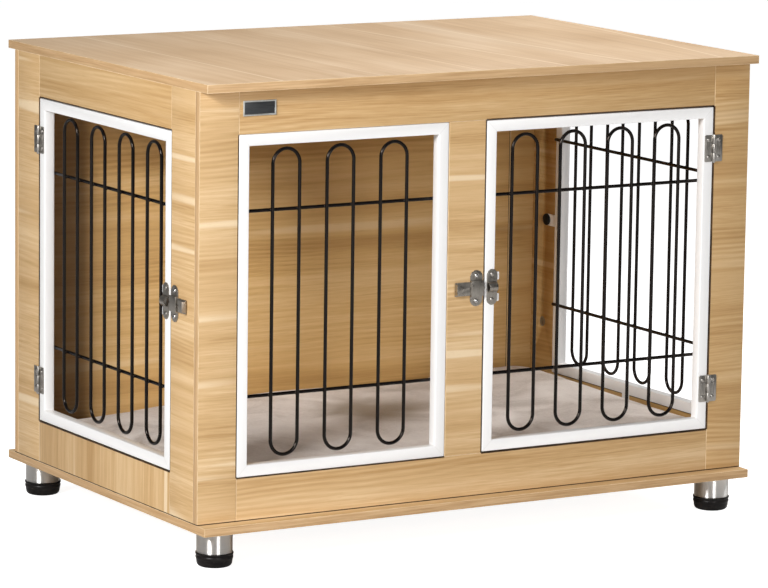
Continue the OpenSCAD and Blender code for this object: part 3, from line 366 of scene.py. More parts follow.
oakFront, oakRailAndShade, oakTopWithSheen, oakInnerShaded, oakEdge = [
    oakFinish(name, oakLooks[look]) for name, look in
    (("oakPrint", "front"), ("oakRailPrint", "rail"), ("oakTopPrint", "top"), ("oakInnerPrint", "inner"),
     ("oakEdgeBand", "edge"))]
arris = arrisFinish("oakArris", (0.66, 0.46, 0.25), (0.80, 0.61, 0.38))
jointGleam = arrisFinish("jointGleam", (0.62, 0.41, 0.20), (0.76, 0.54, 0.30))
seamShade = arrisFinish("jointShade", (0.035, 0.017, 0.007), (0.09, 0.048, 0.020))
core = plainFinish("boardCore", noise=(700.0, 3.0, 0.7), gloss=(0.75, 0.9), relief=(0.0004, 0.5),
                   tones=((0.36, 0.25, 0.15), (0.58, 0.44, 0.29)))
enamel = enamelFinish()
enamelPlain = enamelFinish("whiteEnamelPlain", False)
blackWire = wireFinish()
legSteel = legFinish()
nickel = hardwareFinish("satinNickel", (0.37, 0.345, 0.315), (0.50, 0.475, 0.44), 0.34)
rimSteel = hardwareFinish("rimSteel", (0.62, 0.63, 0.60), (0.80, 0.81, 0.78), 0.42)
latchSteel = hardwareFinish("latchSteel", (0.330, 0.300, 0.262), (0.450, 0.415, 0.368), 0.30)
screwSteel = hardwareFinish("screwSteel", (0.56, 0.55, 0.54), (0.72, 0.71, 0.70), 0.20)
zinc = hardwareFinish("zincCast", (0.26, 0.26, 0.26), (0.42, 0.42, 0.41), 0.42)
footPlastic = footFinish()
plateDark = plainFinish("plateInsert", noise=(1.0, 3.0), stretch=(60.0, 60.0, 2600.0), stops=(0.3, 0.7),
                        tones=((0.022, 0.023, 0.025), (0.050, 0.053, 0.056)),
                        gloss=(0.30, 0.40), relief=(0.00004, 0.4), Specular_IOR_Level=0.35)
plush = plushFinish(plushSetup)
beech = plainFinish("beechDowel", noise=(1.0, 3.0), stretch=(900.0, 900.0, 60.0), gloss=(0.55, 0.7),
                    relief=(0.0001, 0.4), tones=((0.50, 0.36, 0.20), (0.68, 0.53, 0.33)))
slotFinish = {"oak": core, "dowel_wood": beech, "fixing_steel": zinc, "leg_steel": legSteel,
              "black_plastic": footPlastic, "white_enamel": enamelPlain, "black_enamel": blackWire,
              "black_screw": footPlastic, "hardware_steel": nickel, "nameplate_grey": plateDark,
              "plush": plush}
for node in nodes.values():
    for slot in node.material_slots:
        slot.material = slotFinish[slot.material.name.split(".")[0]]


# Mesh helpers. Face axes are u along the face, v up and w out of it.
faceAxes = {"front": ((1, 0, 0), (0, 0, 1), (0, -1, 0)), "left": ((0, 1, 0), (0, 0, 1), (-1, 0, 0)),
            "right": ((0, 1, 0), (0, 0, 1), (1, 0, 0))}


def onFace(face, origin):
    turn = Matrix(faceAxes[face]).transposed().to_4x4()
    return Matrix.Translation(origin) @ turn


def sharpen(bm, degrees):
    limit = math.radians(degrees)
    for f in bm.faces:
        f.smooth = True
    for e in bm.edges:
        e.smooth = len(e.link_faces) == 2 and e.calc_face_angle(0.0) < limit


def toObject(bm, name, materials, degrees=32.0):
    sharpen(bm, degrees)
    mesh = bpy.data.meshes.new(name)
    bm.to_mesh(mesh)
    bm.free()
    for m in materials:
        mesh.materials.append(m)
    obj = bpy.data.objects.new(name, mesh)
    bpy.context.scene.collection.objects.link(obj)
    return obj


def finishPiece(obj, body, replaced):
    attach(obj, body)
    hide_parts(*replaced)


# What an object's modifiers make of it, as a plain mesh.
def plainMesh(obj):
    graph = bpy.context.evaluated_depsgraph_get()
    return bpy.data.meshes.new_from_object(obj.evaluated_get(graph), depsgraph=graph)


def bisect(bm, axis, level):
    way = Vector([1.0 if i == axis else 0.0 for i in range(3)])
    bmesh.ops.bisect_plane(bm, geom=bm.verts[:] + bm.edges[:] + bm.faces[:],
                           plane_co=way * level, plane_no=way)


# Spins a profile of (radius, level) pairs; spot gives the place of a radius, angle and level.
def spin(bm, profile, steps, spot):
    rings = []
    for r, level in profile:
        count = steps if r > 0.0 else 1
        rings.append([bm.verts.new(spot(r, 2 * math.pi * i / steps, level)) for i in range(count)])
    for a, b in zip(rings, rings[1:]):
        for i in range(steps):
            j = (i + 1) % steps
            if len(a) == 1:
                bm.faces.new((a[0], b[j], b[i]))
            elif len(b) == 1:
                bm.faces.new((a[i], a[j], b[0]))
            else:
                bm.faces.new((a[i], a[j], b[j], b[i]))


def cadCopy(node):
    bm = bmesh.new()
    bm.from_mesh(nodes[node].data)
    bmesh.ops.remove_doubles(bm, verts=bm.verts, dist=1e-6)
    return bm


# Boxes of the separate solids in a CAD node.
def solidBoxes(node):
    bm = cadCopy(node)
    seen, boxes = set(), []
    for start in bm.verts:
        if start in seen:
            continue
        seen.add(start)
        stack, points = [start], []
        while stack:
            v = stack.pop()
            points.append(v.co.copy())
            for e in v.link_edges:
                other = e.other_vert(v)
                if other not in seen:
                    seen.add(other)
                    stack.append(other)
        boxes.append((Vector([min(p[i] for p in points) for i in range(3)]),
                      Vector([max(p[i] for p in points) for i in range(3)])))
    bm.free()
    return boxes


def roundEdges(bm, edges, radius, steps, **how):
    return bmesh.ops.bevel(bm, geom=edges, offset=radius, segments=steps, profile=0.5, affect="EDGES", **how)


def sharpEdges(bm, angle):
    return [e for e in bm.edges if len(e.link_faces) == 2 and e.calc_face_angle(0.0) > angle]


# A copy of a CAD node with its sharp edges rounded a little, as pressed and cast metal has.
def softEdges(node, name, body, material, radius, steps):
    bm = cadCopy(node)
    bmesh.ops.dissolve_limit(bm, angle_limit=math.radians(1.0), verts=bm.verts, edges=bm.edges)
    roundEdges(bm, sharpEdges(bm, math.radians(32.0)), radius, steps, clamp_overlap=True)
    finishPiece(toObject(bm, name, [material], 40.0), body, [node])


print("boards")
boardSetup = {"arris": 0.6 * mm, "arrisSteps": 2,
              "floorLevel": 0.062, "standGap": 0.4 * mm,  # top of the bottom board, gap under a board on it
              "shade": 1.5 * mm, "footShade": 1.5 * mm,
              "levels": (0.123, 0.597),  # lower and upper edge of every opening
              "frontEdges": (-0.3895, -0.0565, 0.004, 0.3895), "sideEdges": (-0.2045, 0.2045),
              "tightEdge": -0.0565, "backJoint": (0.3928, 0.3939, 0.3958),
              "camPlay": 0.3 * mm, "camMouth": 1 * mm, "camSteps": 40}
# places of a board's materials: 0 is its face and 2 the core
onArris, onEdge, onShade, onGleam, onInnerShade = 1, 3, 4, 5, 6
# the axis that the grain runs along on a board's flat sides
boardGrain = {"top_board": 1, "bottom_board": 0, "back_panel": 0,
              "front_left_stile": 0, "front_centre_stile": 0, "front_right_stile": 0,
              "front_top_rail": 0, "front_bottom_rail": 0,
              "left_front_stile": 1, "left_back_stile": 1, "left_top_rail": 1, "left_bottom_rail": 2,
              "right_front_stile": 1, "right_back_stile": 1, "right_top_rail": 1, "right_bottom_rail": 1}


# Map in metres, u along the grain; each side of each board gets another stretch of the print.
def mapGrain(bm, low, high, grain, seed):
    size = high - low
    thin = min(range(3), key=lambda i: size[i])
    layer = bm.loops.layers.uv.new("grain")
    for f in bm.faces:
        flat = max(range(3), key=lambda i: abs(f.normal[i]))
        inPlane = [i for i in range(3) if i != flat]
        if flat == thin and grain in inPlane:
            u = grain
        else:
            u = max(inPlane, key=lambda i: size[i])
        v = [i for i in inPlane if i != u][0]
        shift = seed * 3.37 + flat * 1.71 + (0.83 if f.normal[flat] > 0 else 0.0)
        for loop in f.loops:
            loop[layer].uv = (loop.vert.co[u] + shift, loop.vert.co[v] + shift * 0.7)


# True where a face of a stile or rail borders one of the openings.
def facesOpening(node, centre, c):
    if not ("stile" in node or "rail" in node):
        return False
    edges, place = (c["frontEdges"], centre.x) if node.startswith("front") else (c["sideEdges"], centre.y)
    near = lambda a, b: abs(a - b) < c["shade"]
    low, high = c["levels"]
    if "stile" in node:
        return low < centre.z < high and any(near(place, e) for e in edges if e != c["tightEdge"])
    spans = list(zip(edges[::2], edges[1::2]))
    if node == "front_top_rail":  # the fixed panel closes tightly at its top
        spans = spans[1:]
    return any(near(centre.z, e) for e in c["levels"]) and any(a < place < b for a, b in spans)


# Planes that part the shaded strips along the openings from the rest of a board.
def shadeCuts(node, c):
    along, edges = (0, c["frontEdges"]) if node.startswith("front") else (1, c["sideEdges"])
    if "stile" in node:
        rims = [(along, e + s * c["shade"]) for e in edges for s in (-1, 1)]
        return [(2, z) for z in c["levels"]] + rims
    if node == "back_panel":
        return [(0, x) for x in c["backJoint"]]
    if "rail" in node:
        rims = [(2, z + s * c["shade"]) for z in c["levels"] for s in (-1, 1)]
        return [(along, e) for e in edges[1:3]] + rims
    return []


# Which material a face of a board takes, or None where it keeps its own.
def boardFinish(node, f, thin, foot, c):
    centre, joint = f.calc_center_median(), c["backJoint"]
    if facesOpening(node, centre, c) or (node == "back_panel" and joint[0] < centre.x < joint[1]):
        return onShade
    if node == "back_panel" and joint[1] < centre.x < joint[2]:
        return onGleam
    # the inner faces of the right walls take the inner print: painted shade
    if node.startswith("right") and f.normal.x < -0.5:
        return onInnerShade
    if foot is not None and centre.z < foot:
        return onShade
    if f.material_index != onArris and abs(f.normal[thin]) < 0.5:
        return onEdge
    return None


# Takes the round recesses of the cam locks out of a board; they open to the inside.
def cutRecesses(obj, boxes, c):
    tool = bmesh.new()
    for low, high in boxes:
        spot, radius = (low + high) / 2, (high.y - low.y) / 2 + c["camPlay"]
        inwards = -c["camMouth"] if spot.x > 0 else c["camMouth"]
        made = bmesh.ops.create_cone(tool, cap_ends=True, segments=c["camSteps"], radius1=radius,
                                     radius2=radius, depth=(high.x - low.x) + 2 * c["camMouth"])
        bmesh.ops.rotate(tool, verts=made["verts"], cent=(0, 0, 0),
                         matrix=Matrix.Rotation(math.pi / 2, 3, "Y"))
        bmesh.ops.translate(tool, verts=made["verts"], vec=(spot.x + inwards, spot.y, spot.z))
    knife = toObject(tool, obj.name + "Cutter", [core])
    cut = obj.modifiers.new("recess", "BOOLEAN")
    cut.operation, cut.solver, cut.object, cut.material_mode = "DIFFERENCE", "EXACT", knife, "TRANSFER"
    bpy.context.view_layer.update()
    mesh = plainMesh(obj)
    obj.modifiers.remove(cut)
    obj.data = mesh
    bpy.data.objects.remove(knife)


def makeBoard(node, grain, seed, recesses, c):
    low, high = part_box(node)
    bm = bmesh.new()
    bmesh.ops.create_cube(bm, size=1.0)
    middle, size = (low + high) / 2, high - low
    for v in bm.verts:
        v.co = Vector([middle[i] + v.co[i] * size[i] for i in range(3)])
    roundEdges(bm, bm.edges[:], c["arris"], c["arrisSteps"], material=onArris)
    for axis, level in shadeCuts(node, c):
        bisect(bm, axis, level)
    foot = None
    if abs(low.z - c["floorLevel"]) < c["standGap"]:  # the board stands on the bottom board
        foot = low.z + c["footShade"]
        bisect(bm, 2, foot)
        for v in bm.verts:
            v.co.z += c["standGap"] if v.co.z < low.z + 1e-5 else 0.0
    bm.normal_update()
    mapGrain(bm, low, high, grain, seed)
    thin = min(range(3), key=lambda i: size[i])
    for f in bm.faces:
        index = boardFinish(node, f, thin, foot, c)
        if index is not None:
            f.material_index = index
    # The front right stile takes the rail print as painted shade; the back panel takes the inner print,
    # painted shade of the inside.
    face = {"top_board": oakTopWithSheen, "back_panel": oakInnerShaded, "front_top_rail": oakRailAndShade,
            "front_right_stile": oakRailAndShade, "left_top_rail": oakRailAndShade}.get(node, oakFront)
    obj = toObject(bm, "board_" + node, [face, arris, core, oakEdge, seamShade, jointGleam, oakInnerShaded])
    if recesses:
        cutRecesses(obj, recesses, c)
    finishPiece(obj, "carcass", [node])


camBoxes = solidBoxes("cam_locks")
for seed, (node, grain) in enumerate(boardGrain.items()):
    low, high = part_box(node)
    middles = [(box, (box[0] + box[1]) / 2) for box in camBoxes]
    recesses = [box for box, spot in middles
                if all(low[i] - 2 * mm < spot[i] < high[i] + 2 * mm for i in range(3))]
    makeBoard(node, grain, seed + 1, recesses, boardSetup)


print("frames")
frameSetup = {"tube": 16 * mm, "round": 1.3 * mm, "roundSteps": 3, "mitreSlant": 0.7071,
              "lugFrom": 14 * mm, "lugPast": 3.5 * mm, "lugRise": 15.3 * mm, "lugHalf": 5.5 * mm,
              "lugThick": 2 * mm, "lugCorner": 0.8 * mm, "lugRim": 0.5 * mm}


# Square tube bent round as a frame: a ring with rounded edges and a map of its mitres.
def makeFrame(node, face, body, c, lugs=()):
    low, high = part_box(node)
    along = 0 if face == "front" else 1
    u0, u1, v0, v1 = low[along], high[along], low[2], high[2]
    cu, cv = (u0 + u1) / 2, (v0 + v1) / 2
    halfU, halfV = (u1 - u0) / 2, (v1 - v0) / 2
    bm = bmesh.new()
    rings = []
    for inset, w in ((0, 0), (c["tube"], 0), (c["tube"], -c["tube"]), (0, -c["tube"])):
        rings.append([bm.verts.new((su * (halfU - inset), sv * (halfV - inset), w))
                      for su, sv in ((-1, -1), (1, -1), (1, 1), (-1, 1))])
    for k in range(4):
        a, b = rings[k], rings[(k + 1) % 4]
        for i in range(4):
            j = (i + 1) % 4
            bm.faces.new((a[i], a[j], b[j], b[i]))
    bmesh.ops.recalc_face_normals(bm, faces=bm.faces)
    roundEdges(bm, sharpEdges(bm, 0.5), c["round"], c["roundSteps"])
    layer = bm.loops.layers.uv.new("mitre")
    for f in bm.faces:
        mid = f.calc_center_median()
        upright = halfU - abs(mid.x) < halfV - abs(mid.y)
        for loop in f.loops:
            p = loop.vert.co
            if upright:
                inset = halfU - math.copysign(1, mid.x) * p.x
                ends = (p.y + halfV - inset, halfV - p.y - inset)
            else:
                inset = halfV - math.copysign(1, mid.y) * p.y
                ends = (p.x + halfU - inset, halfU - p.x - inset)
            loop[layer].uv = (ends[0] * c["mitreSlant"], ends[1] * c["mitreSlant"])
    for u, uEnd, v, vEnd in lugs:
        roundedSlab(bm, u - cu, uEnd - cu, v - cv, vEnd - cv, -c["lugThick"], 0.0,
                    c["lugCorner"], c["lugRim"], layer)
    origin = {"front": (cu, low.y, cv), "left": (low.x, cu, cv), "right": (high.x, cu, cv)}[face]
    bm.transform(onFace(face, origin))
    if face == "left":
        bmesh.ops.reverse_faces(bm, faces=bm.faces)
    finishPiece(toObject(bm, "tubeFrame_" + node, [enamel]), body, [node])


# Flat plate with round corners and softened rims, in face axes.
def roundedSlab(bm, u0, u1, v0, v1, w0, w1, corner, rim, mitre=None):
    outline, steps = [], 5
    for cx, cy, start in ((u1 - corner, v1 - corner, 0), (u0 + corner, v1 - corner, 90),
                          (u0 + corner, v0 + corner, 180), (u1 - corner, v0 + corner, 270)):
        for i in range(steps + 1):
            a = math.radians(start + 90 * i / steps)
            outline.append((cx + corner * math.cos(a), cy + corner * math.sin(a)))
    bottom = [bm.verts.new((x, y, w0)) for x, y in outline]
    top = [bm.verts.new((x, y, w1)) for x, y in outline]
    count = len(outline)
    faces = [bm.faces.new(top), bm.faces.new(bottom[::-1])]
    for i in range(count):
        j = (i + 1) % count
        faces.append(bm.faces.new((bottom[i], bottom[j], top[j], top[i])))
    ring = faces[0].edges[:] + faces[1].edges[:]
    made = roundEdges(bm, ring, rim, 2, clamp_overlap=True)
    if mitre is not None:  # far from any mitre
        for f in set(made["faces"]) | set(f for f in faces if f.is_valid):
            for loop in f.loops:
                loop[mitre].uv = (1.0, 1.0)


# The two lugs of a door, above and below the middle of its keeper.
def lugBoxes(side, c):
    low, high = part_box(side + "_latch_keeper")
    along = 0 if side == "front" else 1
    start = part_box(side + "_door_frame")[0][along] + c["lugFrom"]
    levels = [(low.z + high.z) / 2 + s * c["lugRise"] for s in (-1, 1)]
    return [(start, high[along] + c["lugPast"], z - c["lugHalf"], z + c["lugHalf"]) for z in levels]


makeFrame("front_panel_frame", "front", "carcass", frameSetup)
makeFrame("right_panel_frame", "right", "carcass", frameSetup)
for side in ("front", "left"):
    makeFrame(side + "_door_frame", side, side + "_door", frameSetup, lugBoxes(side, frameSetup))


# Geometry Nodes trees with named inputs.
class Recipe(Graph):
    def __init__(self, name, inputs):
        tree = bpy.data.node_groups.new(name, "GeometryNodeTree")
        super().__init__(tree)
        tree.interface.new_socket("Geometry", in_out="OUTPUT", socket_type="NodeSocketGeometry")
        self.ids = {}
        for label, kind in [("Geometry", "Geometry")] + inputs:
            made = tree.interface.new_socket(label, in_out="INPUT", socket_type="NodeSocket" + kind)
            self.ids[label] = made.identifier
        self.given = tree.nodes.new("NodeGroupInput")
        self.result = tree.nodes.new("NodeGroupOutput")

    def asked(self, label):
        return Wire(self, [s for s in self.given.outputs if s.name == label][0])

    def xyz(self, x, y, z):
        return self.node("ShaderNodeCombineXYZ", {}, {"X": x, "Y": y, "Z": z})

    def moved(self, geometry, **how):
        return self.node("GeometryNodeTransform", {}, {"Geometry": geometry, **how})

    def joined(self, *parts):
        return self.node("GeometryNodeJoinGeometry", {}, {"Geometry": list(parts)})

    def copies(self, points, one, **how):
        return self.node("GeometryNodeInstanceOnPoints", {}, {"Points": points, "Instance": one, **how})

    def line(self, count, start, step):
        return self.node("GeometryNodeMeshLine", {},
                         {"Count": count, "Start Location": start, "Offset": step})

    def close(self, geometry, material):
        solid = self.node("GeometryNodeRealizeInstances", {}, {"Geometry": geometry})
        solid = self.node("GeometryNodeSetShadeSmooth", {}, {"Geometry": solid})
        solid = self.node("GeometryNodeSetMaterial", {}, {"Geometry": solid, "Material": material})
        self.tree.links.new(solid.socket, self.result.inputs[0])

    # Runs the tree on a mesh and returns a plain mesh object, placed by a matrix.
    def build(self, name, values, mesh=None, place=None, degrees=35.0):
        mesh = mesh or bpy.data.meshes.new(name)
        obj = bpy.data.objects.new(name, mesh)
        bpy.context.scene.collection.objects.link(obj)
        mod = obj.modifiers.new("recipe", "NODES")
        mod.node_group = self.tree
        for label, value in values.items():
            mod[self.ids[label]] = value
        bpy.context.view_layer.update()
        plain = plainMesh(obj)
        obj.modifiers.remove(mod)
        obj.data = plain
        bm = bmesh.new()
        bm.from_mesh(plain)
        bmesh.ops.remove_doubles(bm, verts=bm.verts, dist=1e-7)
        if place is not None:
            bm.transform(place)
        bmesh.ops.recalc_face_normals(bm, faces=bm.faces)
        sharpen(bm, degrees)
        bm.to_mesh(plain)
        bm.free()
        return obj


print("grilles")
grilleSetup = {"wire": 2.5 * mm, "weld": 1.15, "bendSteps": 14, "wireSteps": 16,
               "weldShape": (1.25, 1.0, 0.85), "tipShape": (0.6, 1.0, 1.0)}


# Closed loops of wire with two crossbars behind them, welded where they meet.
def grilleRecipe(c):
    r = Recipe("wireGrille", [("Loops", "Int"), ("Pitch", "Float"), ("Loop Width", "Float"),
                              ("Loop Height", "Float"), ("Wire Radius", "Float"), ("Bar Length", "Float"),
                              ("Bar Height", "Float"), ("Bar Depth", "Float"), ("Weld Size", "Float"),
                              ("Material", "Material")])
    wire, width, tall = r.asked("Wire Radius"), r.asked("Loop Width"), r.asked("Loop Height")
    rise, depth = r.asked("Bar Height"), r.asked("Bar Depth")
    path = r.node("GeometryNodeCurvePrimitiveQuadrilateral", {}, {"Width": width, "Height": tall})
    path = r.node("GeometryNodeFilletCurve", {"mode": "POLY"},
                  {"Curve": path, "Count": c["bendSteps"], "Radius": width * 0.4999, "Limit Radius": True})
    section = r.node("GeometryNodeCurvePrimitiveCircle", {},
                     {"Resolution": c["wireSteps"], "Radius": wire}, "Curve")
    loop = r.node("GeometryNodeCurveToMesh", {}, {"Curve": path, "Profile Curve": section})
    blob = r.node("GeometryNodeMeshIcoSphere", {},
                  {"Radius": wire * r.asked("Weld Size"), "Subdivisions": 3}, "Mesh")
    blob = r.moved(blob, Scale=c["weldShape"])
    crossings = r.node("GeometryNodeMeshGrid", {}, {"Size X": width, "Size Y": rise * 2.0,
                                                    "Vertices X": 2, "Vertices Y": 2}, "Mesh")
    crossings = r.moved(crossings, Translation=r.xyz(0.0, 0.0, depth * 0.5))
    one = r.joined(loop, r.copies(crossings, blob))
    first = (r.asked("Loops") - 1.0) * r.asked("Pitch") * -0.5
    row = r.line(r.asked("Loops"), r.xyz(first, 0.0, 0.0), r.xyz(r.asked("Pitch"), 0.0, 0.0))
    loops = r.copies(row, one)
    reach = r.asked("Bar Length") * 0.5 - wire * 0.6
    start = r.xyz(-reach, 0.0, 0.0)
    line = r.node("GeometryNodeCurvePrimitiveLine", {}, {"Start": start, "End": r.xyz(reach, 0.0, 0.0)})
    bar = r.node("GeometryNodeCurveToMesh", {}, {"Curve": line, "Profile Curve": section, "Fill Caps": True})
    ends = r.line(2, start, r.xyz(reach * 2.0, 0.0, 0.0))
    tip = r.node("GeometryNodeMeshUVSphere", {},
                 {"Segments": c["wireSteps"], "Rings": 10, "Radius": wire}, "Mesh")
    tip = r.moved(tip, Scale=c["tipShape"])
    bar = r.joined(bar, r.copies(ends, tip))
    levels = r.line(2, r.xyz(0.0, -rise, depth), r.xyz(0.0, rise * 2.0, 0.0))
    r.close(r.joined(loops, r.copies(levels, bar)), r.asked("Material"))
    return r


wireGrille = grilleRecipe(grilleSetup)


def makeGrille(node, face, body, c):
    boxes = sorted(solidBoxes(node), key=lambda b: b[1].z - b[0].z)
    bars, loops = boxes[:2], boxes[2:]
    along, flat = (0, 1) if face == "front" else (1, 0)
    centre = lambda b, i: (b[0][i] + b[1][i]) / 2
    span = lambda b, i: b[1][i] - b[0][i]
    loops.sort(key=lambda b: centre(b, along))
    bars.sort(key=lambda b: centre(b, 2))
    first, last, wire = loops[0], loops[-1], c["wire"]
    middle, level = (centre(first, along) + centre(last, along)) / 2, centre(first, 2)
    deep = centre(first, flat)
    origin = (middle, deep, level) if face == "front" else (deep, middle, level)
    values = {"Loops": len(loops), "Pitch": (centre(last, along) - centre(first, along)) / (len(loops) - 1),
              "Loop Width": span(first, along) - 2 * wire, "Loop Height": span(first, 2) - 2 * wire,
              "Wire Radius": wire, "Bar Length": span(bars[0], along),
              "Bar Height": (centre(bars[1], 2) - centre(bars[0], 2)) / 2,
              "Bar Depth": -abs(centre(bars[0], flat) - deep), "Weld Size": c["weld"],
              "Material": blackWire}
    obj = wireGrille.build("grille_" + node, values, place=onFace(face, origin))
    finishPiece(obj, body, [node])


for node, face, body in (("front_panel", "front", "carcass"), ("right_panel", "right", "carcass"),
                         ("front_door", "front", "front_door"), ("left_door", "left", "left_door")):
    makeGrille(node + "_grille", face, body, grilleSetup)


print("screws")
smallHead = {"diameter": 6.6 * mm, "dome": 2.1 * mm, "rim": 0.2 * mm, "cadHead": 1.5 * mm}
screwSetup = {"slot": 0.7 * mm, "slotReach": 0.55, "steps": 28, "skirtPast": 0.4 * mm, "small": smallHead,
              "hinge": {**smallHead, "dome": 1.25 * mm},  # low, as heads meet where a door opens wide
              "knob": {"diameter": 18 * mm, "dome": 2.3 * mm, "rim": 2.2 * mm, "cadHead": 4.5 * mm}}


# Domed cross-slot heads on points that carry the way they face.
def screwRecipe(c):
    r = Recipe("crossHeads", [("Diameter", "Float"), ("Dome", "Float"), ("Rim", "Float"), ("Slot", "Float"),
                              ("Slot Reach", "Float"), ("Seed", "Int"), ("Material", "Material")])
    half, dome, rim = r.asked("Diameter") * 0.5, r.asked("Dome"), r.asked("Rim")
    ball = r.node("GeometryNodeMeshUVSphere", {},
                  {"Segments": c["steps"], "Rings": c["steps"] // 2, "Radius": 1.0}, "Mesh")
    ball = r.moved(ball, Translation=r.xyz(0.0, 0.0, rim), Scale=r.xyz(half, half, dome))
    long = half * r.asked("Slot Reach") * 2.0
    bar = r.node("GeometryNodeMeshCube", {}, {"Size": r.xyz(long, r.asked("Slot"), dome * 1.1)}, "Mesh")
    bar = r.moved(bar, Translation=r.xyz(0.0, 0.0, rim + dome))
    cross = r.moved(bar, Rotation=(0.0, 0.0, math.pi / 2))
    head = r.node("GeometryNodeMeshBoolean", {"operation": "DIFFERENCE", "solver": "EXACT"},
                  {"Mesh 1": ball, "Mesh 2": [bar, cross]}, "Mesh")
    skirt = r.node("GeometryNodeMeshCylinder", {}, {"Vertices": c["steps"], "Radius": half * 0.995,
                                                    "Depth": rim + c["skirtPast"]}, "Mesh")
    skirt = r.moved(skirt, Translation=r.xyz(0.0, 0.0, (rim - c["skirtPast"]) * 0.5))
    facing = r.node("GeometryNodeInputNamedAttribute", {"data_type": "FLOAT_VECTOR"},
                    {"Name": "facing"}, "Attribute")
    aim = r.node("FunctionNodeAlignRotationToVector", {"axis": "Z"}, {"Vector": facing})
    heads = r.copies(r.asked("Geometry"), r.joined(head, skirt), Rotation=aim)
    twist = r.node("FunctionNodeRandomValue", {"data_type": "FLOAT"},
                   {"Min": 0.0, "Max": 1.57, "Seed": r.asked("Seed")})
    turned = r.node("GeometryNodeRotateInstances", {},
                    {"Instances": heads, "Rotation": r.xyz(0.0, 0.0, twist)})
    r.close(turned, r.asked("Material"))
    return r


crossHeads = screwRecipe(screwSetup)


def pointMesh(name, spots):
    mesh = bpy.data.meshes.new(name)
    mesh.from_pydata([s[0] for s in spots], [], [])
    facing = mesh.attributes.new("facing", "FLOAT_VECTOR", "POINT")
    for i, s in enumerate(spots):
        facing.data[i].vector = s[1]
    return mesh


# Where the heads of a CAD screw node sit, and which way they face.
def headSpots(node, headHeight):
    spots = []
    for low, high in solidBoxes(node):
        size, mid = high - low, (low + high) / 2
        # the axis is the side that differs from the two equal ones
        axis = max(range(3), key=lambda i: abs(size[i] - size[i - 1]) + abs(size[i] - size[i - 2]))
        other = (axis + 1) % 3
        inBox = [v.co for v in nodes[node].data.vertices
                 if all(low[i] - 1e-5 < v.co[i] < high[i] + 1e-5 for i in range(3))]
        width = lambda end: max(abs(p[other] - mid[other]) for p in inBox
                                if abs(p[axis] - end) < size[axis] * 0.12)
        out = 1.0 if width(high[axis]) > width(low[axis]) else -1.0
        place, way = mid.copy(), Vector((0, 0, 0))
        place[axis], way[axis] = (high[axis] if out > 0 else low[axis]) - out * headHeight, out
        spots.append((place, way))
    return spots


def makeScrews(name, sources, body, material, head, seed, c):
    spots = [s for node in sources for s in headSpots(node, head["cadHead"])]
    obj = crossHeads.build(name, {"Diameter": head["diameter"], "Dome": head["dome"], "Rim": head["rim"],
                                  "Slot": c["slot"], "Slot Reach": c["slotReach"], "Seed": seed,
                                  "Material": material}, mesh=pointMesh(name, spots), degrees=50.0)
    finishPiece(obj, body, sources)


for name, sources, body, material, head, seed in (
        ("screws_carcass", ["latch_screws", "stop_screws"], "carcass", screwSteel, "small", 3),
        ("screws_hinges", ["hinge_fixed_screws"], "carcass", nickel, "hinge", 6),
        ("screws_frontDoor", ["front_door_screws"], "front_door", nickel, "hinge", 5),
        ("screws_leftDoor", ["left_door_screws"], "left_door", nickel, "hinge", 8),
        ("screws_panels", ["panel_screws"], "carcass", footPlastic, "knob", 11)):
    slot = "black_screw" if head == "knob" else "hardware_steel"
    makeScrews(name, sources, body, material, screwSetup[head], seed, screwSetup)


print("hinges")
hingeSetup = {"leaf": 15 * mm, "thick": 1.2 * mm, "knuckle": 2.3 * mm, "gap": 0.3 * mm, "corner": 1.6 * mm,
              "rim": 0.3 * mm, "boss": 0.7 * mm, "ribs": (5.9 * mm, 8.6 * mm, 11.3 * mm), "ribWide": 1.7 * mm,
              "ribTall": 0.225, "ribSink": 0.4 * mm, "ribCorner": 0.8 * mm, "ribRim": 0.4 * mm,
              "lap": 0.6 * mm, "lapCorner": 0.2 * mm, "lapRim": 0.1 * mm,
              "cap": 0.8 * mm, "capWide": 0.8, "tubeRim": 0.25 * mm, "tubeSteps": 28, "endPlay": 1.6 * mm}


# A piece of the knuckle's tube with softened ends, between two levels.
def tubePiece(bm, v0, v1, radius, h):
    rim, middle = h["tubeRim"], h["knuckle"]
    low = [(0.0, v0), (radius - rim, v0), (radius - rim * 0.3, v0 + rim * 0.3), (radius, v0 + rim)]
    high = [(radius, v1 - rim), (radius - rim * 0.3, v1 - rim * 0.3), (radius - rim, v1), (0.0, v1)]
    spin(bm, low + high, h["tubeSteps"], lambda r, a, v: (r * math.cos(a), v, middle + r * math.sin(a)))


# One leaf with a raised middle, its knuckles and, on the fixed side, the pin's caps.
def makeLeaf(bm, side, height, h):
    part, thick = (height - 2 * h["gap"]) / 3, h["thick"]
    inner = h["knuckle"] + h["gap"]
    u0, u1 = (-h["leaf"], -inner) if side < 0 else (inner, h["leaf"])
    roundedSlab(bm, u0, u1, -height / 2, height / 2, 0.0, thick, h["corner"], h["rim"])
    for rib in h["ribs"]:
        b0, b1, tall = side * rib - h["ribWide"] / 2, side * rib + h["ribWide"] / 2, height * h["ribTall"]
        roundedSlab(bm, b0, b1, -tall, tall, thick - h["ribSink"], thick + h["boss"],
                    h["ribCorner"], h["ribRim"])
    for level in ([0] if side < 0 else [-1, 1]):
        v = level * (part + h["gap"])
        lo, hi = (-inner - h["lap"], 0.0) if side < 0 else (0.0, inner + h["lap"])
        roundedSlab(bm, lo, hi, v - part / 2, v + part / 2, 0.0, thick, h["lapCorner"], h["lapRim"])
        tubePiece(bm, v - part / 2, v + part / 2, h["knuckle"], h)
        if level:
            end = v + level * part / 2
            tubePiece(bm, end, end + level * h["cap"], h["knuckle"] * h["capWide"], h)


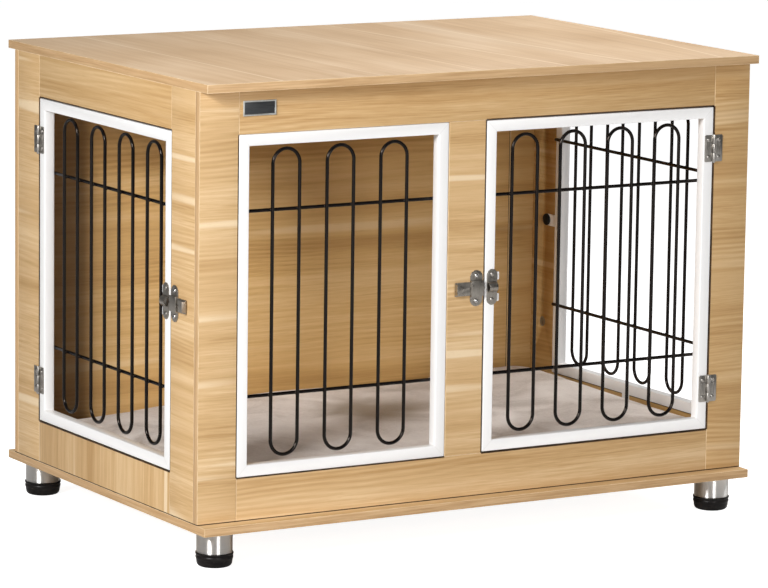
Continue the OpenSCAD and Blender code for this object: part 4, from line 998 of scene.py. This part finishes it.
def makeHinges(name, pins, side, body, replaced, h):
    bm = bmesh.new()
    for low, high in pins:
        face, out = ("front", 1) if low.x > 0 else ("left", 0)
        part = bmesh.new()
        makeLeaf(part, side, (high.z - low.z) - h["endPlay"], h)
        bmesh.ops.recalc_face_normals(part, faces=part.faces)
        surface = (low + high) / 2
        surface[out] += h["knuckle"]
        part.transform(onFace(face, surface))
        if face == "left":
            bmesh.ops.reverse_faces(part, faces=part.faces)
        mesh = bpy.data.meshes.new("part")
        part.to_mesh(mesh)
        part.free()
        bm.from_mesh(mesh)
        bpy.data.meshes.remove(mesh)
    finishPiece(toObject(bm, name, [nickel], 40.0), body, replaced)


pinBoxes = solidBoxes("hinge_pins")
frontPins = [b for b in pinBoxes if b[0].x > 0]
leftPins = [b for b in pinBoxes if b[0].x < 0]
for name, pins, side, body, replaced in (
        ("hingeLeaves_carcass", frontPins + leftPins, 1, "carcass", ["hinge_fixed_leaves", "hinge_pins"]),
        ("hingeLeaves_frontDoor", frontPins, -1, "front_door", ["front_door_leaves"]),
        ("hingeLeaves_leftDoor", leftPins, -1, "left_door", ["left_door_leaves"])):
    makeHinges(name, pins, side, body, replaced, hingeSetup)


print("latches and small metal")
for side in ("front", "left"):
    for part, name, body, radius in (("body", "latchBody_", "carcass", 0.35 * mm),
                                     ("bolt", "latchBolt_", side + "_bolt", 0.3 * mm),
                                     ("keeper", "latchKeeper_", side + "_door", 0.3 * mm)):
        softEdges(side + "_latch_" + part, name + side, body, latchSteel, radius, 3)
softEdges("door_stops", "doorStops", "carcass", nickel, 0.25 * mm, 2)
softEdges("panel_tabs", "panelTabs", "carcass", enamelPlain, 0.35 * mm, 2)
softEdges("nameplate_rim", "nameplateRim", "carcass", rimSteel, 0.35 * mm, 3)
softEdges("nameplate_insert", "nameplateInsert", "carcass", plateDark, 0.1 * mm, 2)


print("legs")
legSetup = {"steps": 96, "wall": 1.2 * mm, "lowRim": 0.2 * mm, "topRim": 0.4 * mm, "plate": 2.5 * mm}
# the foot from its underside up: how far inside its rim and how high, in mm
footSetup = {"steps": 96, "stud": 5 * mm, "seat": 17 * mm,
             "outline": ((8.5, 0), (6.4, 0.2), (4.6, 0.9), (3.2, 2.1), (2.3, 3.6), (1.8, 5.4), (1.5, 7.6),
                         (1.15, 10.5), (1.05, 11), (0.5, 11.7), (0.4, 12.2), (0.4, 14), (0.5, 14.5),
                         (1.05, 15.2), (1.1, 15.7), (1.1, 16.5), (0.7, 17), (0.1, 17.4), (0, 17.9),
                         (0, 19.2), (0.25, 19.8), (0.7, 20), (1.3, 20), (1.3, 17))}


# Spins a profile round an upright line through a point.
def upright(bm, profile, centre, steps):
    spin(bm, profile, steps,
         lambda r, a, z: (centre.x + r * math.cos(a), centre.y + r * math.sin(a), z))


# Each tube is a piece of its own, so that its scratches run round its own middle.
def makeLeg(low, high, c):
    bm = bmesh.new()
    centre = (low + high) / 2
    r, z0, z1 = (high.x - low.x) / 2, low.z, high.z
    inside, rim, top = r - c["wall"], c["lowRim"], c["topRim"]
    upright(bm, [(inside, z0), (r - rim, z0), (r, z0 + rim), (r, z1 - top), (r - top, z1), (0.0, z1)],
            centre, c["steps"])
    upright(bm, [(0.0, z1 - c["plate"]), (inside, z1 - c["plate"]), (inside, z0)], centre, c["steps"])
    bmesh.ops.remove_doubles(bm, verts=bm.verts, dist=1e-7)
    bmesh.ops.recalc_face_normals(bm, faces=bm.faces)
    name = "legTube_" + ("front" if centre.y < 0 else "back") + ("Left" if centre.x < 0 else "Right")
    finishPiece(toObject(bm, name, [legSteel], 40.0), "carcass", ["leg_tubes"])


# Foot: rim round the tube, a band below it and a rounded base.
def makeFoot(node, body, c):
    low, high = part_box(node)
    radius = (high.x - low.x) / 2
    profile = [(radius - inset * mm, height * mm) for inset, height in c["outline"]]
    profile = [(0.0, 0.0)] + profile + [(c["stud"], c["seat"]), (c["stud"], high.z), (0.0, high.z)]
    bm = bmesh.new()
    upright(bm, profile, (low + high) / 2, c["steps"])
    bmesh.ops.recalc_face_normals(bm, faces=bm.faces)
    finishPiece(toObject(bm, "footRubber_" + node, [footPlastic], 40.0), body, [node])


for low, high in solidBoxes("leg_tubes"):
    makeLeg(low, high, legSetup)
for node, body in (("foot_front_left", "foot_fl"), ("foot_front_right", "foot_fr"),
                   ("foot_back_left", "foot_bl"), ("foot_back_right", "foot_br")):
    makeFoot(node, body, footSetup)


print("cushion")
cushionSetup = {"half": (0.4285, 0.2645), "low": 62.3 * mm, "high": 115 * mm, "corner": 24 * mm,
                "edge": 14 * mm, "flatten": 0.6, "voxel": 7 * mm, "pressure": 4.0, "frames": 20,
                "cap": 11 * mm, "wall": (0.4365, 0.2722), "side": 20 * mm, "foot": 35 * mm, "rim": 90 * mm,
                "seam": 2.2 * mm, "seamLevel": 87 * mm, "seamWide": 4.5 * mm, "pull": 3.0 * mm,
                "crown": 3.5 * mm, "fold": 0.9 * mm, "foldFade": 35 * mm,
                "heap": 13 * mm, "heapFrom": 160 * mm, "heapOver": 220 * mm,
                "roof": 131 * mm, "softRoof": 4 * mm, "rightEdge": 119 * mm, "rightRise": 5 * mm,
                # broad wave: turn and shift along x and y, height
                "swell": (7.1, 1.1, 8.3, 0.2, 2.4 * mm),
                # smaller waves: turn along x and y, shift, height everywhere and more inside the rim
                "waves": ((13.0, 9.0, 0.7, 2.0 * mm, 0.0), (24.0, -31.0, 2.0, 0.4 * mm, 0.9 * mm),
                          (21.0, 7.0, 0.4, 0.0, 2.4 * mm)),
                # lumps and hollows: x, y, width, height
                "lumps": ((-0.05, 0.14, 0.055, 8 * mm), (0.05, 0.06, 0.06, -9 * mm),
                          (0.13, -0.02, 0.07, 5 * mm), (-0.37, 0.25, 0.10, -8 * mm),
                          (-0.24, -0.02, 0.08, 5 * mm))}


# Pad before it is filled: a box with round corners, a little smaller than its space.
def padBlank(c):
    bm = bmesh.new()
    halfX, halfY = c["half"]
    roundedSlab(bm, -halfX, halfX, -halfY, halfY, c["low"], c["high"], c["corner"], c["edge"])
    for v in bm.verts:  # the underside keeps a smaller round than the top
        if v.co.z < c["low"] + c["edge"]:
            v.co.z = c["low"] + (v.co.z - c["low"]) * c["flatten"]
    return bm


def unit(x):
    return max(0.0, min(1.0, x))


# A crease that runs in from the edge and dies away.
def fold(along, across, turn, bend, inside, c):
    fade = math.exp(-inside / c["foldFade"])
    return math.sin(along * turn + math.sin(across * bend) * 2.0) * fade * c["fold"]


# How much a spot of the pad's top is lifted.
def padLift(p, inX, inY, c):
    inner = min(1.0, min(inX, inY) / c["rim"])
    turnX, shiftX, turnY, shiftY, height = c["swell"]
    lift = math.sin(p.x * turnX + shiftX) * math.sin(p.y * turnY + shiftY) * height
    lift += sum(math.sin(p.x * turnX + p.y * turnY + shift) * (height + inner * more)
                for turnX, turnY, shift, height, more in c["waves"])
    heap = unit((p.x - c["heapFrom"]) / c["heapOver"])
    lift += c["heap"] * heap * heap * (3.0 - 2.0 * heap)
    lift += sum(height * math.exp(-((p.x - x) ** 2 + (p.y - y) ** 2) / wide ** 2)
                for x, y, wide, height in c["lumps"])
    folds = fold(p.x, p.y, 88.0, 21.0, inY, c) + fold(p.y, p.x, 92.0, 17.0, inX, c)
    return lift + folds + c["crown"] * inner


def shapePad(mesh, c):
    wall, soft = c["wall"], c["softRoof"]
    for v in mesh.vertices:
        p = v.co
        inX, inY = wall[0] - abs(p.x), wall[1] - abs(p.y)
        p.z += padLift(p, inX, inY, c) * unit((p.z - c["low"]) / c["foot"])
        # seam round the middle of the sides, and sides drawn in between the corners
        middle = math.exp(-((p.z - c["seamLevel"]) / c["seamWide"]) ** 2)
        for i, inside in enumerate((inX, inY)):
            if inside < c["side"]:
                bow = 1.0 - (abs(p[1 - i]) / wall[1 - i]) ** 4
                p[i] -= math.copysign(c["seam"] * middle + c["pull"] * bow * 0.5, p[i])
        p.x = max(-wall[0], min(wall[0], p.x))
        p.y = max(-wall[1], min(wall[1], p.y))
        roof = c["roof"]
        if p.x > 0:
            roof = min(roof, c["rightEdge"] + c["rightRise"] * unit((p.y + 0.1) / 0.25) + inX * 0.2)
        over = p.z - (roof - soft)
        if over > 0:
            p.z = roof - soft * math.exp(-over / soft)
        p.z = max(c["low"], p.z)


# Fills the pad as cloth under pressure; no spot moves further than the cap.
def fillPad(obj, even, c):
    scene = bpy.context.scene
    cloth = obj.modifiers.new("swell", "CLOTH")
    cloth.settings.use_pressure = True
    cloth.settings.uniform_pressure_force = c["pressure"]
    cloth.settings.effector_weights.gravity = 0.0
    cloth.settings.quality = 5
    cloth.point_cache.frame_start, cloth.point_cache.frame_end = 1, c["frames"]
    for i in range(1, c["frames"] + 1):
        scene.frame_set(i)
    swollen = plainMesh(obj)
    obj.modifiers.remove(cloth)
    scene.frame_set(1)
    moves = [b.co - a.co for a, b in zip(even.vertices, swollen.vertices)]
    print("pad swelled by up to %.1f mm" % max(move.length / mm for move in moves))
    for v, move in zip(even.vertices, moves):
        v.co += move * min(1.0, c["cap"] / max(move.length, 1e-9))
    bpy.data.meshes.remove(swollen)


def makeCushion(c):
    obj = toObject(padBlank(c), "cushionPad", [plush], 180.0)
    remesh = obj.modifiers.new("even", "REMESH")
    remesh.mode, remesh.voxel_size = "VOXEL", c["voxel"]
    bpy.context.view_layer.update()
    even = plainMesh(obj)
    obj.modifiers.remove(remesh)
    obj.data = even
    fillPad(obj, even, c)
    shapePad(even, c)
    even.materials.clear()
    even.materials.append(plush)
    for f in even.polygons:
        f.use_smooth, f.material_index = True, 0
    fine = obj.modifiers.new("fine", "SUBSURF")
    fine.levels = fine.render_levels = 1
    finishPiece(obj, "carcass", ["cushion"])


makeCushion(cushionSetup)


print("studio")
studioSetup = {"floor": 0.66, "floorGlow": 0.90, "worldLight": 0.13,
               # name, place, target, size and power of each lamp
               "lamps": [("keyLight", (-4.20, -2.36, 2.45), (-0.2, -0.1, 0.36), (1.4, 1.4), 230.0),
                         ("frontLight", (-0.68, -4.95, 1.22), (0.0, -0.1, 0.36), (1.2, 1.7), 66.0),
                         ("topLight", (0.65, 0.3, 1.9), (0.1, 0.1, 0.6), (1.0, 1.0), 12.5),
                         ("sideLight", (2.6, 0.1, 1.9), (0.3, 0.0, 0.3), (1.2, 1.2), 42.0)]}


# The camera sees the floor and the world plain white; the part is lit by less of both.
def makeFloor(c):
    s = Finish("paleFloor")
    spot = s.noise(s.place(), 3.0, 2.0)
    colour = s.ramp(spot, [(0.3, [c["floor"]] * 3), (0.7, [c["floor"] + 0.02] * 3)])
    paint = s.node("ShaderNodeBsdfDiffuse", {}, {"Color": colour})
    glow = s.node("ShaderNodeEmission", {}, {"Color": (1, 1, 1), "Strength": c["floorGlow"]})
    both = s.node("ShaderNodeAddShader", {}, {0: paint, 1: glow})
    seen = s.node("ShaderNodeLightPath", out="Is Camera Ray")
    shader = s.node("ShaderNodeMixShader", {}, {0: seen, 1: paint, 2: both})
    s.node("ShaderNodeOutputMaterial", {}, {"Surface": shader})
    bm = bmesh.new()
    bmesh.ops.create_grid(bm, x_segments=1, y_segments=1, size=20.0)
    floor = toObject(bm, "studioFloor", [s.material])


def makeWorld(c):
    world = bpy.data.worlds.new("studioWorld")
    bpy.context.scene.world = world
    world.use_nodes = True
    g = Graph(world.node_tree)
    seen = g.node("ShaderNodeLightPath", out="Is Camera Ray")
    strength = seen * (1.0 - c["worldLight"]) + c["worldLight"]
    light = g.node("ShaderNodeBackground", {}, {"Color": (1, 1, 1), "Strength": strength})
    g.node("ShaderNodeOutputWorld", {}, {"Surface": light})


def makeLamp(name, place, target, size, power):
    data = bpy.data.lights.new(name, "AREA")
    data.shape, data.size, data.size_y = "RECTANGLE", size[0], size[1]
    data.energy = power
    lamp = bpy.data.objects.new(name, data)
    lamp.location = place
    lamp.rotation_euler = (Vector(target) - Vector(place)).to_track_quat("-Z", "Y").to_euler()
    bpy.context.scene.collection.objects.link(lamp)


makeFloor(studioSetup)
makeWorld(studioSetup)
for lamp in studioSetup["lamps"]:
    makeLamp(*lamp)

scene = bpy.context.scene
scene.view_settings.view_transform = "Standard"
